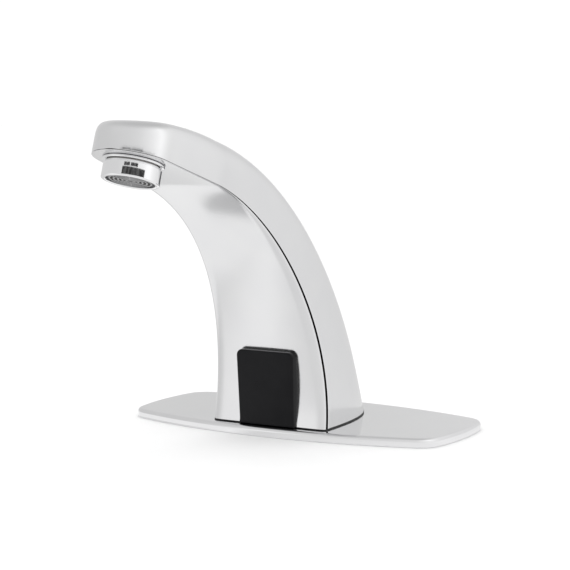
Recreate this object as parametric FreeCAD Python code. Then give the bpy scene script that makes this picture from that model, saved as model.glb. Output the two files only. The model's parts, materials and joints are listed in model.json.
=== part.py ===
import FreeCAD, Part
import math
import os

# Deck-mounted sensor tap: an arched spout of two chromed shells on a bowed deck plate, with an
# infra-red sensor behind a black window in its foot, a solenoid valve and check valve inside the
# foot, a tube along the arch, and a screw-on aerator under the head.
#
# Millimetres. +Z is up, +Y points to the back, the spout reaches towards -Y, X runs along the
# deck plate. The origin is the centre of the deck plate's hole, on the counter.

V = FreeCAD.Vector
UP = V(0, 0, 1)
ALONG_X = V(1, 0, 0)
ORIGIN = V(0, 0, 0)

# ---- driving dimensions -------------------------------------------------------------------

# deck plate and its gasket
plate_length = 160.0
plate_end_half_depth = 28.5
plate_middle_half_depth = 42.5
plate_end_bow = 3.3
plate_corner_radius = 11.8
plate_thickness = 4.4
plate_edge_round = 1.8
plate_top_wall = 1.6
plate_rim_wall = 3.0
deck_hole_radius = 17.5
deck_hole_wall = 2.5
gasket_clearance = 0.2

# foot of the body, seen from above
foot_gasket_thickness = 0.6
foot_gasket_hole_radius = 18.5
foot_gasket_inset = 0.2
foot_half_width = 30.3
foot_front = 34.4
foot_back = 30.1

# head of the spout
head_tilt = 18.4
outlet_reach = 143.05
outlet_height = 130.8
head_half_width = 20.3
nose_radius = 17.5
head_length = 35.1
head_depth_behind = 21.0
head_depth_middle = 19.6
head_depth_tip = 12.9

# handles of the two side-view curves, the last as shares of the arch's reach, and how the
# section changes along the arch
seam_foot_rise = 48.0
seam_foot_lean = 7.0
seam_head_share = 0.4993
crown_foot_rise = 50.5
crown_foot_lean = 27.0
crown_head_share = 0.7153
lower_arch_half_width = 28.5
upper_arch_half_width = 18.0
foot_roundness = 2.7
lower_roundness = 3.0
upper_roundness = 6.5
head_roundness = 4.2
nose_roundness = 7.0
foot_bulge = 0.8
lower_bulge = 1.4
upper_bulge = 2.4

# shells
shell_wall = 2.2
shell_rim = 1.1
seam_gap = 0.35
ledge_play = 0.03
cover_thickness = 1.8

# sensor window and what stands behind it
window_margin = 1.2
window_taper = 1.0
window_height = 35.4
window_lean = 2.2
window_proud = 1.4
window_wall = 2.4
window_corner_radius = 3.0
window_fit = 0.15
window_flange_edge = 2.2
window_flange_thickness = 1.5
land_depth = 3.6
land_margin = 5.0
window_gasket_thickness = 1.0
window_gasket_width = 1.2
sensor_case_half_width = 14.0
sensor_case_height = 32.0
sensor_case_depth = 10.0
sensor_case_wall = 1.2
sensor_ear_thickness = 1.6
sensor_screw_radius = 1.0
sensor_screw_rise = 12.0
board_thickness = 1.6
led_radius = 2.5
led_spacing = 12.0
led_length = 4.6
led_clearance = 0.3
led_lead_radius = 0.3
status_led_size = 2.0

# base block and its ports
block_height = 9.0
block_clearance = 0.3
block_notch_half_width = 19.3
block_notch_back = 16.5
stud_hole_radius = 2.5
stud_hole_depth = 7.0
stud_spacing = 26.0
stud_offset = 3.0
inlet_thread_radius = 4.5
inlet_thread_length = 5.4
cable_bore_radius = 1.8
gland_radius = 4.0
gland_flange_radius = 5.2
gland_flange_thickness = 2.0
gland_rise = 2.5
gland_x = 9.5

# fasteners
body_screw_radius = 2.0
body_screw_head_radius = 3.5
body_screw_head_height = 3.6
body_screw_length = 15.0
boss_wall = 2.0
rear_boss_x = 15.0
rear_boss_y = 12.5
front_boss_gap = 0.8
front_boss_y = 24.0
boss_height = 12.0
hole_clearance = 0.15
thread_fit = 0.05

# valve
valve_y = -6.0
valve_z = 31.0
valve_radius = 10.5
valve_length = 14.0
valve_face_x = -6.0
valve_flange_half = 11.3
valve_flange_thickness = 3.0
inlet_x = -11.0
outlet_port_x = -15.0
outlet_port_bore = 2.8
spigot_trim_rise = 5.4
seat_radius = 4.6
seat_bore_radius = 3.0
seat_setback = 0.6
inlet_chamber_radius = 8.2
inlet_chamber_depth = 6.0
inlet_spigot_radius = 7.0
inlet_spigot_bore = 5.05
spigot_seat_rise = 1.0
valve_foot_thickness = 3.0
valve_screw_radius = 1.5
valve_screw_head_radius = 2.7
valve_screw_head_height = 2.0
valve_screw_length = 9.0
valve_screw_left = 5.5
valve_screw_right = 8.6
socket_wall = 1.2
socket_length = 6.0

# diaphragm, cover and solenoid
diaphragm_radius = 10.0
diaphragm_thickness = 1.2
diaphragm_boss_radius = 5.2
insert_hub_radius = 2.4
insert_flange_thickness = 0.6
insert_bleed_radius = 0.6
bonnet_thickness = 5.0
bonnet_wall = 1.1
pilot_chamber_radius = 8.0
bonnet_screw_radius = 1.2
bonnet_screw_head_radius = 2.1
bonnet_screw_head_height = 1.4
bonnet_screw_length = 8.0
bonnet_screw_offset = 8.6
core_tube_outer_radius = 4.5
core_tube_wall = 0.45
core_tube_length = 19.5
core_flange_radius = 6.0
core_flange_thickness = 0.8
plunger_clearance = 0.06
plunger_travel = 1.6
core_stop_gap = 0.3
plunger_tip_radius = 1.6
plunger_tip_length = 1.0
plunger_bore_radius = 2.4
plunger_bore_depth = 5.4
plunger_length = 13.8
coil_radius = 9.0
coil_length = 16.6
coil_clearance = 0.2
yoke_thickness = 1.2
yoke_half_width = 8.0
yoke_half_height = 9.2

# springs
spring_wire_radius = 0.2
plunger_spring_radius = 1.7
plunger_spring_turns = 6
check_spring_radius = 2.1
check_spring_turns = 3

# check valve and filter
check_body_radius = 5.0
check_bore_radius = 4.0
check_seat_radius = 2.6
check_seat_thickness = 1.5
check_length = 7.3
poppet_radius = 3.5
poppet_thickness = 1.2
poppet_stem_radius = 0.9
spider_thickness = 1.4
spider_holes = 6
spider_hole_radius = 0.65
spider_pitch_radius = 2.6
filter_radius = 4.4
filter_thickness = 0.6
oring_radius = 0.55
seat_ring_radius = 0.6

# outlet tube
tube_radius = 4.0
tube_bore_radius = 3.0
tube_bend_radius = 24.0
tube_first_bend_radius = 12.0
tube_fit = 0.05

# aerator and the nipple that carries it
collar_drop = 8.6
collar_gap = 0.3
collar_radius = 12.2
collar_lip_radius = 10.3
collar_lip_thickness = 1.0
collar_top_step = 0.5
collar_top_step_height = 0.9
nipple_radius = 11.0
nipple_bore_radius = 8.3
nipple_end = 5.4
thread_running_clearance = 0.06
head_play = 0.04
nut_radius = 13.1
nut_thickness = 1.2
fitting_flange_radius = 15.0
fitting_flange_thickness = 2.6
fitting_dome_radius = 10.2
fitting_dome_height = 12.4
fitting_wall = 1.8
fitting_socket_rise = 7.6
fitting_socket_end = 17.0
fitting_ear_half_width = 13.0
fitting_ear_end = 19.0
head_screw_radius = 1.5
head_screw_head_radius = 2.7
head_screw_head_height = 1.6
head_screw_length = 9.0
head_screw_x = 9.4
head_screw_y = 15.4
washer_thickness = 1.0
insert_flange_radius = 10.7
insert_flange_height = 1.15
cartridge_radius = 7.8
cartridge_wall = 1.0
cartridge_height = 6.0
cartridge_top = 1.0
cartridge_holes = 8
cartridge_hole_radius = 0.8
cartridge_hole_pitch = 4.6
screen_thickness = 0.3
screen_spacing = 1.4
screen_fit = 0.05
regulator_thickness = 1.6
regulator_hole_radius = 1.1
regulator_fit = 0.1
grid_radius = 8.7
grid_thickness = 0.7
grid_rings = 4
grid_ring_width = 0.8
grid_ribs = 6
grid_rib_width = 0.7

# solenoid lead
lead_radius = 1.1
lead_bend_radius = 2.2
lead_loop_rise = 6.4

# ---- values worked out from them ----------------------------------------------------------

foot_z = plate_thickness + foot_gasket_thickness
block_top = foot_z + block_height
tilt = math.radians(head_tilt)
HEAD_UP = V(0, math.sin(tilt), math.cos(tilt))
HEAD_FORWARD = V(0, -math.cos(tilt), math.sin(tilt))
HEAD_CENTRE = V(0, -outlet_reach, outlet_height)

seam_end = HEAD_CENTRE - HEAD_FORWARD * head_length
arch_reach = outlet_reach - head_length * math.cos(tilt)
SEAM = [
    V(0, -foot_front, foot_z),
    V(0, -foot_front + seam_foot_lean, foot_z + seam_foot_rise),
    seam_end - HEAD_FORWARD * (arch_reach * seam_head_share),
    seam_end,
]
nose_reach = head_length + nose_radius
crown_end = seam_end + HEAD_UP * head_depth_behind
crown_middle = seam_end + HEAD_FORWARD * (nose_reach / 2) + HEAD_UP * head_depth_middle
crown_tip = seam_end + HEAD_FORWARD * nose_reach + HEAD_UP * head_depth_tip
crown_run = (crown_middle - crown_end).normalize()
CROWN = [
    V(0, foot_back, foot_z),
    V(0, foot_back - crown_foot_lean, foot_z + crown_foot_rise),
    crown_end - crown_run * (arch_reach * crown_head_share),
    crown_end,
]
HEAD_CROWN = [crown_end, crown_middle, crown_tip]
HALF_WIDTHS = [foot_half_width, lower_arch_half_width, upper_arch_half_width, head_half_width]
ROUNDNESS = [foot_roundness, lower_roundness, upper_roundness, head_roundness]
BULGES = [foot_bulge, lower_bulge, upper_bulge, 0.0]

ARCH_STATIONS = [0.0, 0.12, 0.25, 0.38, 0.5, 0.62, 0.74, 0.87, 1.0]
HEAD_STATIONS = [0.3, 0.65]
NOSE_RATIOS = [0.0, 0.35, 0.6, 0.8, 0.92, 0.985]
below_foot = -0.04
section_points = 15

window_foot_half_width = sensor_case_half_width + window_margin
window_top_half_width = window_foot_half_width + window_taper
window_foot_face = -(foot_front + foot_bulge + window_proud)
window_top_face = window_foot_face - window_lean
window_base_z = foot_z + 0.3
land_y = -foot_front + land_depth
window_flange_back = land_y + window_gasket_thickness + window_flange_thickness
sensor_case_back = window_flange_back + sensor_case_depth
sensor_case_z = foot_z + 3.6
sensor_ear_half_width = sensor_case_half_width + 4.6
sensor_screw_x = sensor_case_half_width + 2.4
front_boss_x = sensor_ear_half_width + front_boss_gap + body_screw_radius + boss_wall
status_led_x = 6.0 - sensor_case_half_width
board_back = sensor_case_back - sensor_case_wall - 1.0
led_z = sensor_case_z + 0.62 * sensor_case_height

AXIS = V(0, valve_y, valve_z)
plunger_radius = core_tube_outer_radius - core_tube_wall - plunger_clearance
insert_face_x = valve_face_x + diaphragm_thickness + insert_flange_thickness
bonnet_end_x = valve_face_x + bonnet_thickness
core_start_x = bonnet_end_x - bonnet_wall - core_flange_thickness
core_end_x = core_start_x + core_tube_length
plunger_end_x = insert_face_x + plunger_length
core_stop_x = plunger_end_x + plunger_travel + core_stop_gap
spigot_foot_z = foot_z + inlet_thread_length + 0.8
check_z = spigot_foot_z + 0.5
check_seat_z = check_z + check_seat_thickness
spider_z = check_z + check_length - spider_thickness
lead_exit = V(6.0, valve_y - 2.0, valve_z + coil_radius - 0.6)


# ---- small helpers ------------------------------------------------------------------------

def bernstein(values, u):
    """Value at u of the Bezier curve with these control values or points."""
    last = len(values) - 1
    total = values[0] * 0.0
    for k, value in enumerate(values):
        total = total + value * (math.comb(last, k) * u ** k * (1 - u) ** (last - k))
    return total


def cylinder(radius, height, at=ORIGIN, axis=UP):
    return Part.makeCylinder(radius, height, at, axis)


def ring(outer, inner, height, at=ORIGIN, axis=UP):
    return cylinder(outer, height, at, axis).cut(cylinder(inner, height, at, axis))


def block(low, high):
    size = high - low
    return Part.makeBox(size.x, size.y, size.z, low)


def polygon_prism(points, thickness):
    """Closed outline of points pushed by the vector thickness."""
    return Part.Face(Part.makePolygon(points + points[:1])).extrude(thickness)


def fuse_all(shapes):
    joined = shapes[0].multiFuse(shapes[1:]) if len(shapes) > 1 else shapes[0]
    return joined.removeSplitter()


def cut_all(shape, tools):
    return shape.cut(tools) if tools else shape


def socket_screw(at, axis, head_radius, head_height, shank_radius, length):
    """Screw whose head's underside is at `at`; the shank points along axis."""
    head = cylinder(head_radius, head_height, at, axis * -1)
    shank = cylinder(shank_radius, length, at, axis)
    key = cylinder(shank_radius * 0.62, head_height * 0.6, at - axis * head_height, axis)
    return head.fuse(shank).cut(key)


def spring(start, axis_turn, radius, length, turns):
    """Open coil along +Z from `start`, turned about it by the placement axis_turn."""
    pieces = []
    quarter_turns = 4 * turns

    def on_coil(k):
        angle = k * math.pi / 2
        return V(radius * math.cos(angle), radius * math.sin(angle), length * k / quarter_turns)

    for k in range(quarter_turns):
        arc = Part.Arc(on_coil(k), on_coil(k + 0.5), on_coil(k + 1))
        pieces.append(arc.toShape())
    path = Part.Wire(pieces)
    profile = Part.Wire(Part.makeCircle(spring_wire_radius, on_coil(0), V(0, 1, 0)))
    coil = path.makePipeShell([profile], True, False)
    coil.Placement = FreeCAD.Placement(start, axis_turn)
    return coil


def rounded_path(points, radii):
    """Straight runs through points, with a tangent arc at each inner point."""
    edges = []
    start = points[0]
    for before, corner, after, radius in zip(points, points[1:], points[2:], radii):
        into = (corner - before).normalize()
        out = (after - corner).normalize()
        half_turn = into.getAngle(out) / 2
        setback = radius * math.tan(half_turn)
        first = corner - into * setback
        last = corner + out * setback
        to_centre = (out - into).normalize()
        middle = corner + to_centre * (radius / math.cos(half_turn) - radius)
        edges.append(Part.LineSegment(start, first).toShape())
        edges.append(Part.Arc(first, middle, last).toShape())
        start = last
    edges.append(Part.LineSegment(start, points[-1]).toShape())
    return Part.Wire(edges)


def tube_along(path, radius):
    first = path.Edges[0]
    direction = first.tangentAt(first.FirstParameter)
    profile = Part.Wire(Part.makeCircle(radius, path.Vertexes[0].Point, direction))
    return path.makePipeShell([profile], True, False)


def at_head(shape):
    """Move a shape from the head's own frame (z along the outlet, 0 at the underside)."""
    placed = shape.copy()
    placed.rotate(ORIGIN, ALONG_X, -head_tilt)
    placed.translate(HEAD_CENTRE)
    return placed


def head_point(y, z):
    return HEAD_CENTRE - HEAD_FORWARD * y + HEAD_UP * z


# ---- the arched body ----------------------------------------------------------------------

def arch_station(u):
    """Seam point, crown point and section values at u along the arch."""
    values = [bernstein(row, u) for row in (HALF_WIDTHS, ROUNDNESS, BULGES)]
    return [bernstein(SEAM, u), bernstein(CROWN, u)] + values + [0.0]


def head_station(distance, nose_ratio):
    """The same at a distance along the head, with the nose's share of its radius."""
    seam = seam_end + HEAD_FORWARD * distance
    crown = bernstein(HEAD_CROWN, distance / nose_reach)
    share = min(1.0, distance / head_length)
    half_width = head_half_width + (nose_radius - head_half_width) * share
    roundness = head_roundness + (nose_roundness - head_roundness) * share
    return [seam, crown, half_width, roundness, 0.0, nose_ratio]


def stations(inset, foot):
    """All stations from the foot to the nose; foot is where the first one lies."""
    rows = [arch_station(u) for u in [foot] + ARCH_STATIONS[1:]]
    for share in HEAD_STATIONS:
        rows.append(head_station(head_length * share, 0.0))
    for ratio in NOSE_RATIOS:
        rows.append(head_station(head_length + (nose_radius - inset) * ratio, ratio))
    return rows


def skin_section(station, inset, skirt):
    """Closed D section: crown arc, and a flat side on the seam or `skirt` below it."""
    seam, crown, half_width, roundness, _, nose = station
    depth = crown - seam
    direction = depth.normalize()
    height = (crown - seam).Length - inset
    side = half_width - inset
    points = []
    for k in range(section_points):
        angle = math.pi * k / (section_points - 1)
        share = abs(math.cos(angle)) ** (2 / roundness) * math.sqrt(1 - nose ** 2)
        rest = max(0.0, 1 - (share ** 2 + nose ** 2) ** (roundness / 2))
        x = math.copysign(side * share, math.cos(angle))
        points.append(seam + direction * (height * rest ** (1 / roundness)) + V(x, 0, 0))
    if skirt:
        drop = direction * -skirt
        points = [points[0] + drop] + points + [points[-1] + drop]
    arc = Part.BSplineCurve()
    arc.interpolate(points)
    chord = Part.LineSegment(points[-1], points[0])
    return Part.Wire([arc.toShape(), chord.toShape()])


def skin(inset, skirt=0.0, foot=0.0):
    rows = stations(inset, foot)
    return Part.makeLoft([skin_section(row, inset, skirt) for row in rows], True, False)


def cover_section(station, inset, thickness, extra):
    """Bulged outer face `extra` proud of the cover, flat inner face `thickness` deep."""
    seam, crown, half_width, _, bulge, nose = station
    direction = (crown - seam).normalize()
    side = (half_width - inset) * math.sqrt(1 - nose ** 2)
    points = []
    for k in range(section_points):
        angle = math.pi * k / (section_points - 1)
        out = bulge * math.sin(angle) + extra
        points.append(seam - direction * out + V(side * math.cos(angle), 0, 0))
    arc = Part.BSplineCurve()
    arc.interpolate(points)
    inner = [seam + direction * thickness + V(x, 0, 0) for x in (-side, side)]
    corners = [points[-1]] + inner + [points[0]]
    lines = [Part.LineSegment(a, b).toShape() for a, b in zip(corners, corners[1:])]
    return Part.Wire([arc.toShape()] + lines)


def cover_solid(inset, thickness, extra=0.0, foot=0.0):
    rows = stations(inset, foot)
    wires = [cover_section(row, inset, thickness, extra) for row in rows]
    return Part.makeLoft(wires, True, False)


def foot_bosses(x, y):
    """A pair of screw bosses that stand on the base block."""
    radius = body_screw_radius + boss_wall
    return [cylinder(radius, boss_height, V(side * x, y, block_top)) for side in (-1, 1)]


def boss_holes(x, y):
    radius = body_screw_radius + thread_fit
    depth = body_screw_length + body_screw_head_height
    return [cylinder(radius, depth + 1.0, V(side * x, y, foot_z)) for side in (-1, 1)]


def head_bosses():
    bosses = []
    for side in (-1, 1):
        rise = cover_thickness + fitting_flange_thickness + 2 * head_play
        at = V(side * head_screw_x, head_screw_y, rise)
        bosses.append(at_head(cylinder(head_screw_radius + boss_wall, head_depth_behind, at)))
    return bosses


def head_boss_holes():
    holes = []
    for side in (-1, 1):
        at = V(side * head_screw_x, head_screw_y, 0)
        depth = cover_thickness + head_screw_head_height + head_screw_length + 1.0
        holes.append(at_head(cylinder(head_screw_radius + thread_fit, depth, at)))
    return holes


def rear_shell():
    """Back, crown and sides of the spout: one open shell with a stepped rim for the cover."""
    outer = skin(0.0)
    hollow = skin(shell_wall, skirt=3.0, foot=below_foot)
    step = cover_solid(shell_rim, cover_thickness + ledge_play, extra=3.0, foot=below_foot)
    core = skin(shell_wall / 2)
    bosses = [boss.common(core) for boss in foot_bosses(rear_boss_x, rear_boss_y) + head_bosses()]
    shell = outer.cut(hollow).cut(step)
    shell = fuse_all([shell] + bosses)
    return cut_all(shell, boss_holes(rear_boss_x, rear_boss_y) + head_boss_holes())


def window_outline(grow, base_drop=0.0):
    """Window outline in the X-Z plane at y = 0, with rounded top corners."""
    foot = window_foot_half_width + grow
    top = window_top_half_width + grow
    low = window_base_z - base_drop
    high = window_base_z + window_height + grow
    round_by = window_corner_radius + grow
    side_out = (top - foot) * (high - round_by - low) / (high - low)
    bend = round_by * (1 - math.sqrt(0.5))
    edges = [
        Part.LineSegment(V(-foot, 0, low), V(foot, 0, low)),
        Part.LineSegment(V(foot, 0, low), V(foot + side_out, 0, high - round_by)),
        Part.Arc(V(foot + side_out, 0, high - round_by), V(top - bend, 0, high - bend),
                 V(top - round_by, 0, high)),
        Part.LineSegment(V(top - round_by, 0, high), V(round_by - top, 0, high)),
        Part.Arc(V(round_by - top, 0, high), V(bend - top, 0, high - bend),
                 V(-foot - side_out, 0, high - round_by)),
        Part.LineSegment(V(-foot - side_out, 0, high - round_by), V(-foot, 0, low)),
    ]
    return Part.Wire([edge.toShape() for edge in edges])


def window_prism(grow, y_from, y_to, base_drop=0.0):
    face = Part.Face(window_outline(grow, base_drop))
    face.translate(V(0, y_from, 0))
    return face.extrude(V(0, y_to - y_from, 0))


def sensor_screw_places():
    rises = (sensor_case_z + sensor_screw_rise / 2, sensor_case_z + sensor_case_height - 4.0)
    return [(side * sensor_screw_x, z) for side in (-1, 1) for z in rises]


def front_cover():
    """Front and underside of the spout, with the window's opening and the outlet's hole."""
    inset = shell_rim + seam_gap
    plate = cover_solid(inset, cover_thickness)
    land_half = window_top_half_width + land_margin
    land_top = window_base_z + window_height + land_margin
    land = block(V(-land_half, -foot_front - 8.0, foot_z), V(land_half, land_y, land_top))
    land = land.common(cover_solid(shell_wall + block_clearance, land_depth + 4.0))
    core = skin(shell_wall + block_clearance, skirt=0.4)
    bosses = [boss.common(core) for boss in foot_bosses(front_boss_x, -front_boss_y)]
    webs = []
    for side in (-1, 1):
        low = V(side * front_boss_x - 1.5, -foot_front, block_top)
        high = V(side * front_boss_x + 1.5, -front_boss_y, block_top + boss_height)
        webs.append(block(low, high).common(core))
    cover = fuse_all([plate, land] + bosses + webs)
    back_side = -foot_front - 12.0
    tools = [window_prism(window_fit, back_side, land_y + 6.0, base_drop=2.0)]
    tools.append(at_head(cylinder(nipple_radius + hole_clearance, 12.0, V(0, 0, -4.0))))
    for x, z in sensor_screw_places():
        tools.append(cylinder(sensor_screw_radius + thread_fit, 2.4, V(x, land_y + 0.1, z),
                              V(0, -1, 0)))
    return cut_all(cover, tools + boss_holes(front_boss_x, -front_boss_y))


# ---- deck plate and gaskets ---------------------------------------------------------------

def bowed_outline(inset, z):
    """Bowed rectangle: arcs on all four sides, joined by corner arcs, moved in by inset."""
    half = plate_length / 2
    corner = V(half, plate_end_half_depth, 0)
    long_side = (corner, V(0, plate_middle_half_depth, 0), V(-half, plate_end_half_depth, 0))
    end = (V(half, -plate_end_half_depth, 0), V(half + plate_end_bow, 0, 0), corner)
    long_centre = circle_centre(*long_side)
    end_centre = circle_centre(*end)
    long_radius = (corner - long_centre).Length - inset
    end_radius = (corner - end_centre).Length - inset
    round_radius = plate_corner_radius - inset
    centre = circles_meet(long_centre, long_radius - round_radius, end_centre,
                          end_radius - round_radius)
    on_long = centre + (centre - long_centre).normalize() * round_radius
    on_end = centre + (centre - end_centre).normalize() * round_radius
    outward = ((on_long + on_end) * 0.5 - centre).normalize()
    on_corner = centre + outward * round_radius

    def flipped(point, sign_x, sign_y):
        return V(point.x * sign_x, point.y * sign_y, z)

    top = V(0, long_centre.y + long_radius, 0)
    side = V(end_centre.x + end_radius, 0, 0)
    arcs = []
    for sign in (1, -1):
        arcs.append((flipped(on_long, 1, sign), flipped(top, 1, sign), flipped(on_long, -1, sign)))
        arcs.append((flipped(on_end, sign, -1), flipped(side, sign, 1), flipped(on_end, sign, 1)))
    for sign_x in (1, -1):
        for sign_y in (1, -1):
            arcs.append(tuple(flipped(p, sign_x, sign_y) for p in (on_end, on_corner, on_long)))
    edges = [Part.Arc(*arc).toShape() for arc in arcs]
    return Part.Wire(Part.__sortEdges__(edges))


def circle_centre(a, b, c):
    return Part.Circle(a, b, c).Center


def circles_meet(centre_a, radius_a, centre_b, radius_b):
    """Crossing point, in the +x +y quarter, of two circles."""
    line = centre_b - centre_a
    gap = line.Length
    along = (radius_a ** 2 - radius_b ** 2 + gap ** 2) / (2 * gap)
    across = math.sqrt(radius_a ** 2 - along ** 2)
    unit = line.normalize()
    normal = V(-unit.y, unit.x, 0)
    choices = [centre_a + unit * along + normal * (across * sign) for sign in (1, -1)]
    return max(choices, key=lambda point: min(point.x, point.y))


def deck_plate():
    """Bowed plate with a rounded top edge, hollow underneath, open at the deck hole."""
    body = Part.Face(bowed_outline(0.0, 0.0)).extrude(V(0, 0, plate_thickness))
    top_edges = []
    for edge in body.Edges:
        if all(abs(vertex.Z - plate_thickness) < 0.001 for vertex in edge.Vertexes):
            top_edges.append(edge)
    body = body.makeFillet(plate_edge_round, top_edges)
    recess_depth = plate_thickness - plate_top_wall
    recess = Part.Face(bowed_outline(plate_rim_wall, 0.0)).extrude(V(0, 0, recess_depth))
    recess = recess.cut(cylinder(deck_hole_radius + deck_hole_wall, recess_depth))
    return body.cut([recess, cylinder(deck_hole_radius, plate_thickness)])


def deck_gasket():
    inset = plate_rim_wall + gasket_clearance
    height = plate_thickness - plate_top_wall
    pad = Part.Face(bowed_outline(inset, 0.0)).extrude(V(0, 0, height))
    hole = deck_hole_radius + deck_hole_wall + gasket_clearance
    return pad.cut(cylinder(hole, height))


def foot_gasket():
    """Thin black seal between the body's foot and the deck plate."""
    wire = skin_section(arch_station(0.0), foot_gasket_inset, 0.0)
    pad = Part.Face(wire)
    pad.translate(V(0, 0, -foot_gasket_thickness))
    pad = pad.extrude(V(0, 0, foot_gasket_thickness))
    return pad.cut(cylinder(foot_gasket_hole_radius, foot_gasket_thickness,
                            V(0, 0, plate_thickness)))


# ---- sensor -------------------------------------------------------------------------------

def sensor_window():
    """Black window with a flange behind the cover; its face leans with the cover."""
    reach = window_top_face - 2.0
    body = window_prism(0.0, reach, land_y + 0.5)
    low = window_base_z - 4.0
    high = window_base_z + window_height + 4.0
    lean = window_lean / window_height

    def face_y(z):
        return window_foot_face - lean * (z - window_base_z)

    side = window_top_half_width + 4.0
    front = [V(-side, reach - 1.0, low), V(-side, face_y(low), low),
             V(-side, face_y(high), high), V(-side, reach - 1.0, high)]
    body = body.cut(polygon_prism(front, V(2 * side, 0, 0)))
    rounded = []
    for edge in body.Edges:
        middle = edge.valueAt((edge.FirstParameter + edge.LastParameter) / 2)
        on_face = abs(middle.y - face_y(middle.z)) < 0.01
        if on_face and middle.z > window_base_z + 1.0:
            rounded.append(edge)
    body = body.makeFillet(window_proud * 0.6, rounded)
    # neck through the gasket, then the flange behind it
    neck = window_prism(-window_gasket_width, land_y - 0.5, land_y + window_gasket_thickness,
                        base_drop=-0.8)
    flange = window_prism(window_flange_edge, land_y + window_gasket_thickness,
                          window_flange_back, base_drop=-0.6)
    body = body.cut(block(V(-side, land_y - 0.01, 0), V(side, land_y + 3.0, high)))
    window = fuse_all([body, neck, flange])
    window = window.cut(window_prism(-window_wall, window_foot_face + window_wall,
                                     window_flange_back + 1.0, base_drop=-window_wall))
    return cut_all(window, sensor_screw_holes(sensor_screw_radius + hole_clearance))


def window_gasket():
    outer = window_prism(window_flange_edge, land_y, land_y + window_gasket_thickness,
                         base_drop=-0.6)
    inner = window_prism(-window_gasket_width + window_fit, land_y,
                         land_y + window_gasket_thickness, base_drop=-0.4)
    seal = outer.cut(inner)
    return cut_all(seal, sensor_screw_holes(sensor_screw_radius + hole_clearance))


def sensor_screw_holes(radius):
    start = window_flange_back + sensor_ear_thickness + 2.0
    length = start - land_y + 3.0
    return [cylinder(radius, length, V(x, start, z), V(0, -1, 0))
            for x, z in sensor_screw_places()]


def sensor_case():
    """Tray behind the window, open towards it, with an ear on each side."""
    top = sensor_case_z + sensor_case_height
    outer = block(V(-sensor_case_half_width, window_flange_back, sensor_case_z),
                  V(sensor_case_half_width, sensor_case_back, top))
    wall = sensor_case_wall
    inner = block(V(wall - sensor_case_half_width, window_flange_back, sensor_case_z + wall),
                  V(sensor_case_half_width - wall, sensor_case_back - wall, top - wall))
    ears = block(V(-sensor_ear_half_width, window_flange_back, sensor_case_z),
                 V(sensor_ear_half_width, window_flange_back + sensor_ear_thickness, top))
    exit_hole = cylinder(lead_radius + hole_clearance, 2 * wall,
                         V(lead_exit.x, sensor_case_back - 1.5 * wall, lead_start_z()), V(0, 1, 0))
    rails = []
    for side in (-1, 1):
        x = side * (sensor_case_half_width - wall - 0.7)
        rails.append(block(V(x - 0.8, board_back, sensor_case_z + wall / 2),
                           V(x + 0.8, sensor_case_back - wall / 2, top - wall / 2)))
    case = fuse_all([outer, ears]).cut(inner)
    case = fuse_all([case] + rails)
    return cut_all(case, [exit_hole] + sensor_screw_holes(sensor_screw_radius + hole_clearance))


def lead_start_z():
    return sensor_case_z + sensor_case_height - 5.0


def board_half_width():
    return sensor_case_half_width - sensor_case_wall - 0.15


def sensor_board():
    low = V(-board_half_width(), board_back - board_thickness, sensor_case_z + 1.5)
    high = V(board_half_width(), board_back, sensor_case_z + sensor_case_height - 1.5)
    plate = block(low, high)
    chips = [block(V(-4.0, low.y - 1.2, sensor_case_z + 5.0), V(4.0, low.y, sensor_case_z + 11.0)),
             block(V(6.0, low.y - 2.0, sensor_case_z + 4.0), V(10.0, low.y, sensor_case_z + 8.0))]
    return fuse_all([plate] + chips)


def domed_led(x):
    """Round lamp looking forwards, its two leads standing on the board."""
    board_face = board_back - board_thickness
    dome_y = window_flange_back + led_clearance + led_radius
    back = dome_y + led_length - led_radius
    lamp = cylinder(led_radius, led_length - led_radius, V(x, back, led_z), V(0, -1, 0))
    dome = Part.makeSphere(led_radius, V(x, dome_y, led_z))
    dome = dome.common(block(V(x - 4, dome_y - 4, led_z - 4), V(x + 4, dome_y, led_z + 4)))
    leads = []
    for side in (-1, 1):
        foot = V(x + side * led_radius / 2, back - 0.2, led_z)
        leads.append(cylinder(led_lead_radius, board_face - foot.y, foot, V(0, 1, 0)))
    return fuse_all([lamp, dome] + leads)


def light_baffle():
    """Black wall between sender and receiver, from the board to just behind the window."""
    board_face = board_back - board_thickness
    z_low = sensor_case_z + 13.0
    z_high = sensor_case_z + sensor_case_height - sensor_case_wall
    wall = block(V(-0.8, window_flange_back + 0.2, z_low), V(0.8, board_face, z_high))
    sleeves = []
    for side in (-1, 1):
        x = side * led_spacing / 2
        start = window_flange_back + 2.6
        sleeves.append(ring(led_radius + 1.2, led_radius + 0.2, 2.4, V(x, start, led_z), V(0, 1, 0)))
        bar = block(V(min(0, side * 2.6), start, led_z - 0.8),
                    V(max(0, side * 2.6), start + 2.4, led_z + 0.8))
        sleeves.append(bar)
    return fuse_all([wall] + sleeves)


def status_led():
    board_face = board_back - board_thickness
    half = status_led_size / 2
    z = sensor_case_z + 4.0
    return block(V(status_led_x - half, board_face - 1.0, z),
                 V(status_led_x + half, board_face, z + status_led_size))


def sensor_screws():
    start = window_flange_back + sensor_ear_thickness
    length = start - land_y + 2.0
    return Part.makeCompound([
        socket_screw(V(x, start, z), V(0, -1, 0), 1.9, 1.4, sensor_screw_radius, length)
        for x, z in sensor_screw_places()])


def solenoid_lead():
    """Two-core lead from the sensor case to the coil, held at both ends."""
    start = V(lead_exit.x, sensor_case_back - sensor_case_wall - 0.4, lead_start_z())
    turn_y = sensor_case_back + lead_radius + 1.2
    top = lead_exit.z + lead_loop_rise
    points = [start, V(start.x, turn_y, start.z), V(start.x, turn_y, top),
              V(start.x, lead_exit.y, top), lead_exit]
    return tube_along(rounded_path(points, [lead_bend_radius] * 3), lead_radius)


# ---- base block, ports and check valve ----------------------------------------------------

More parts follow.
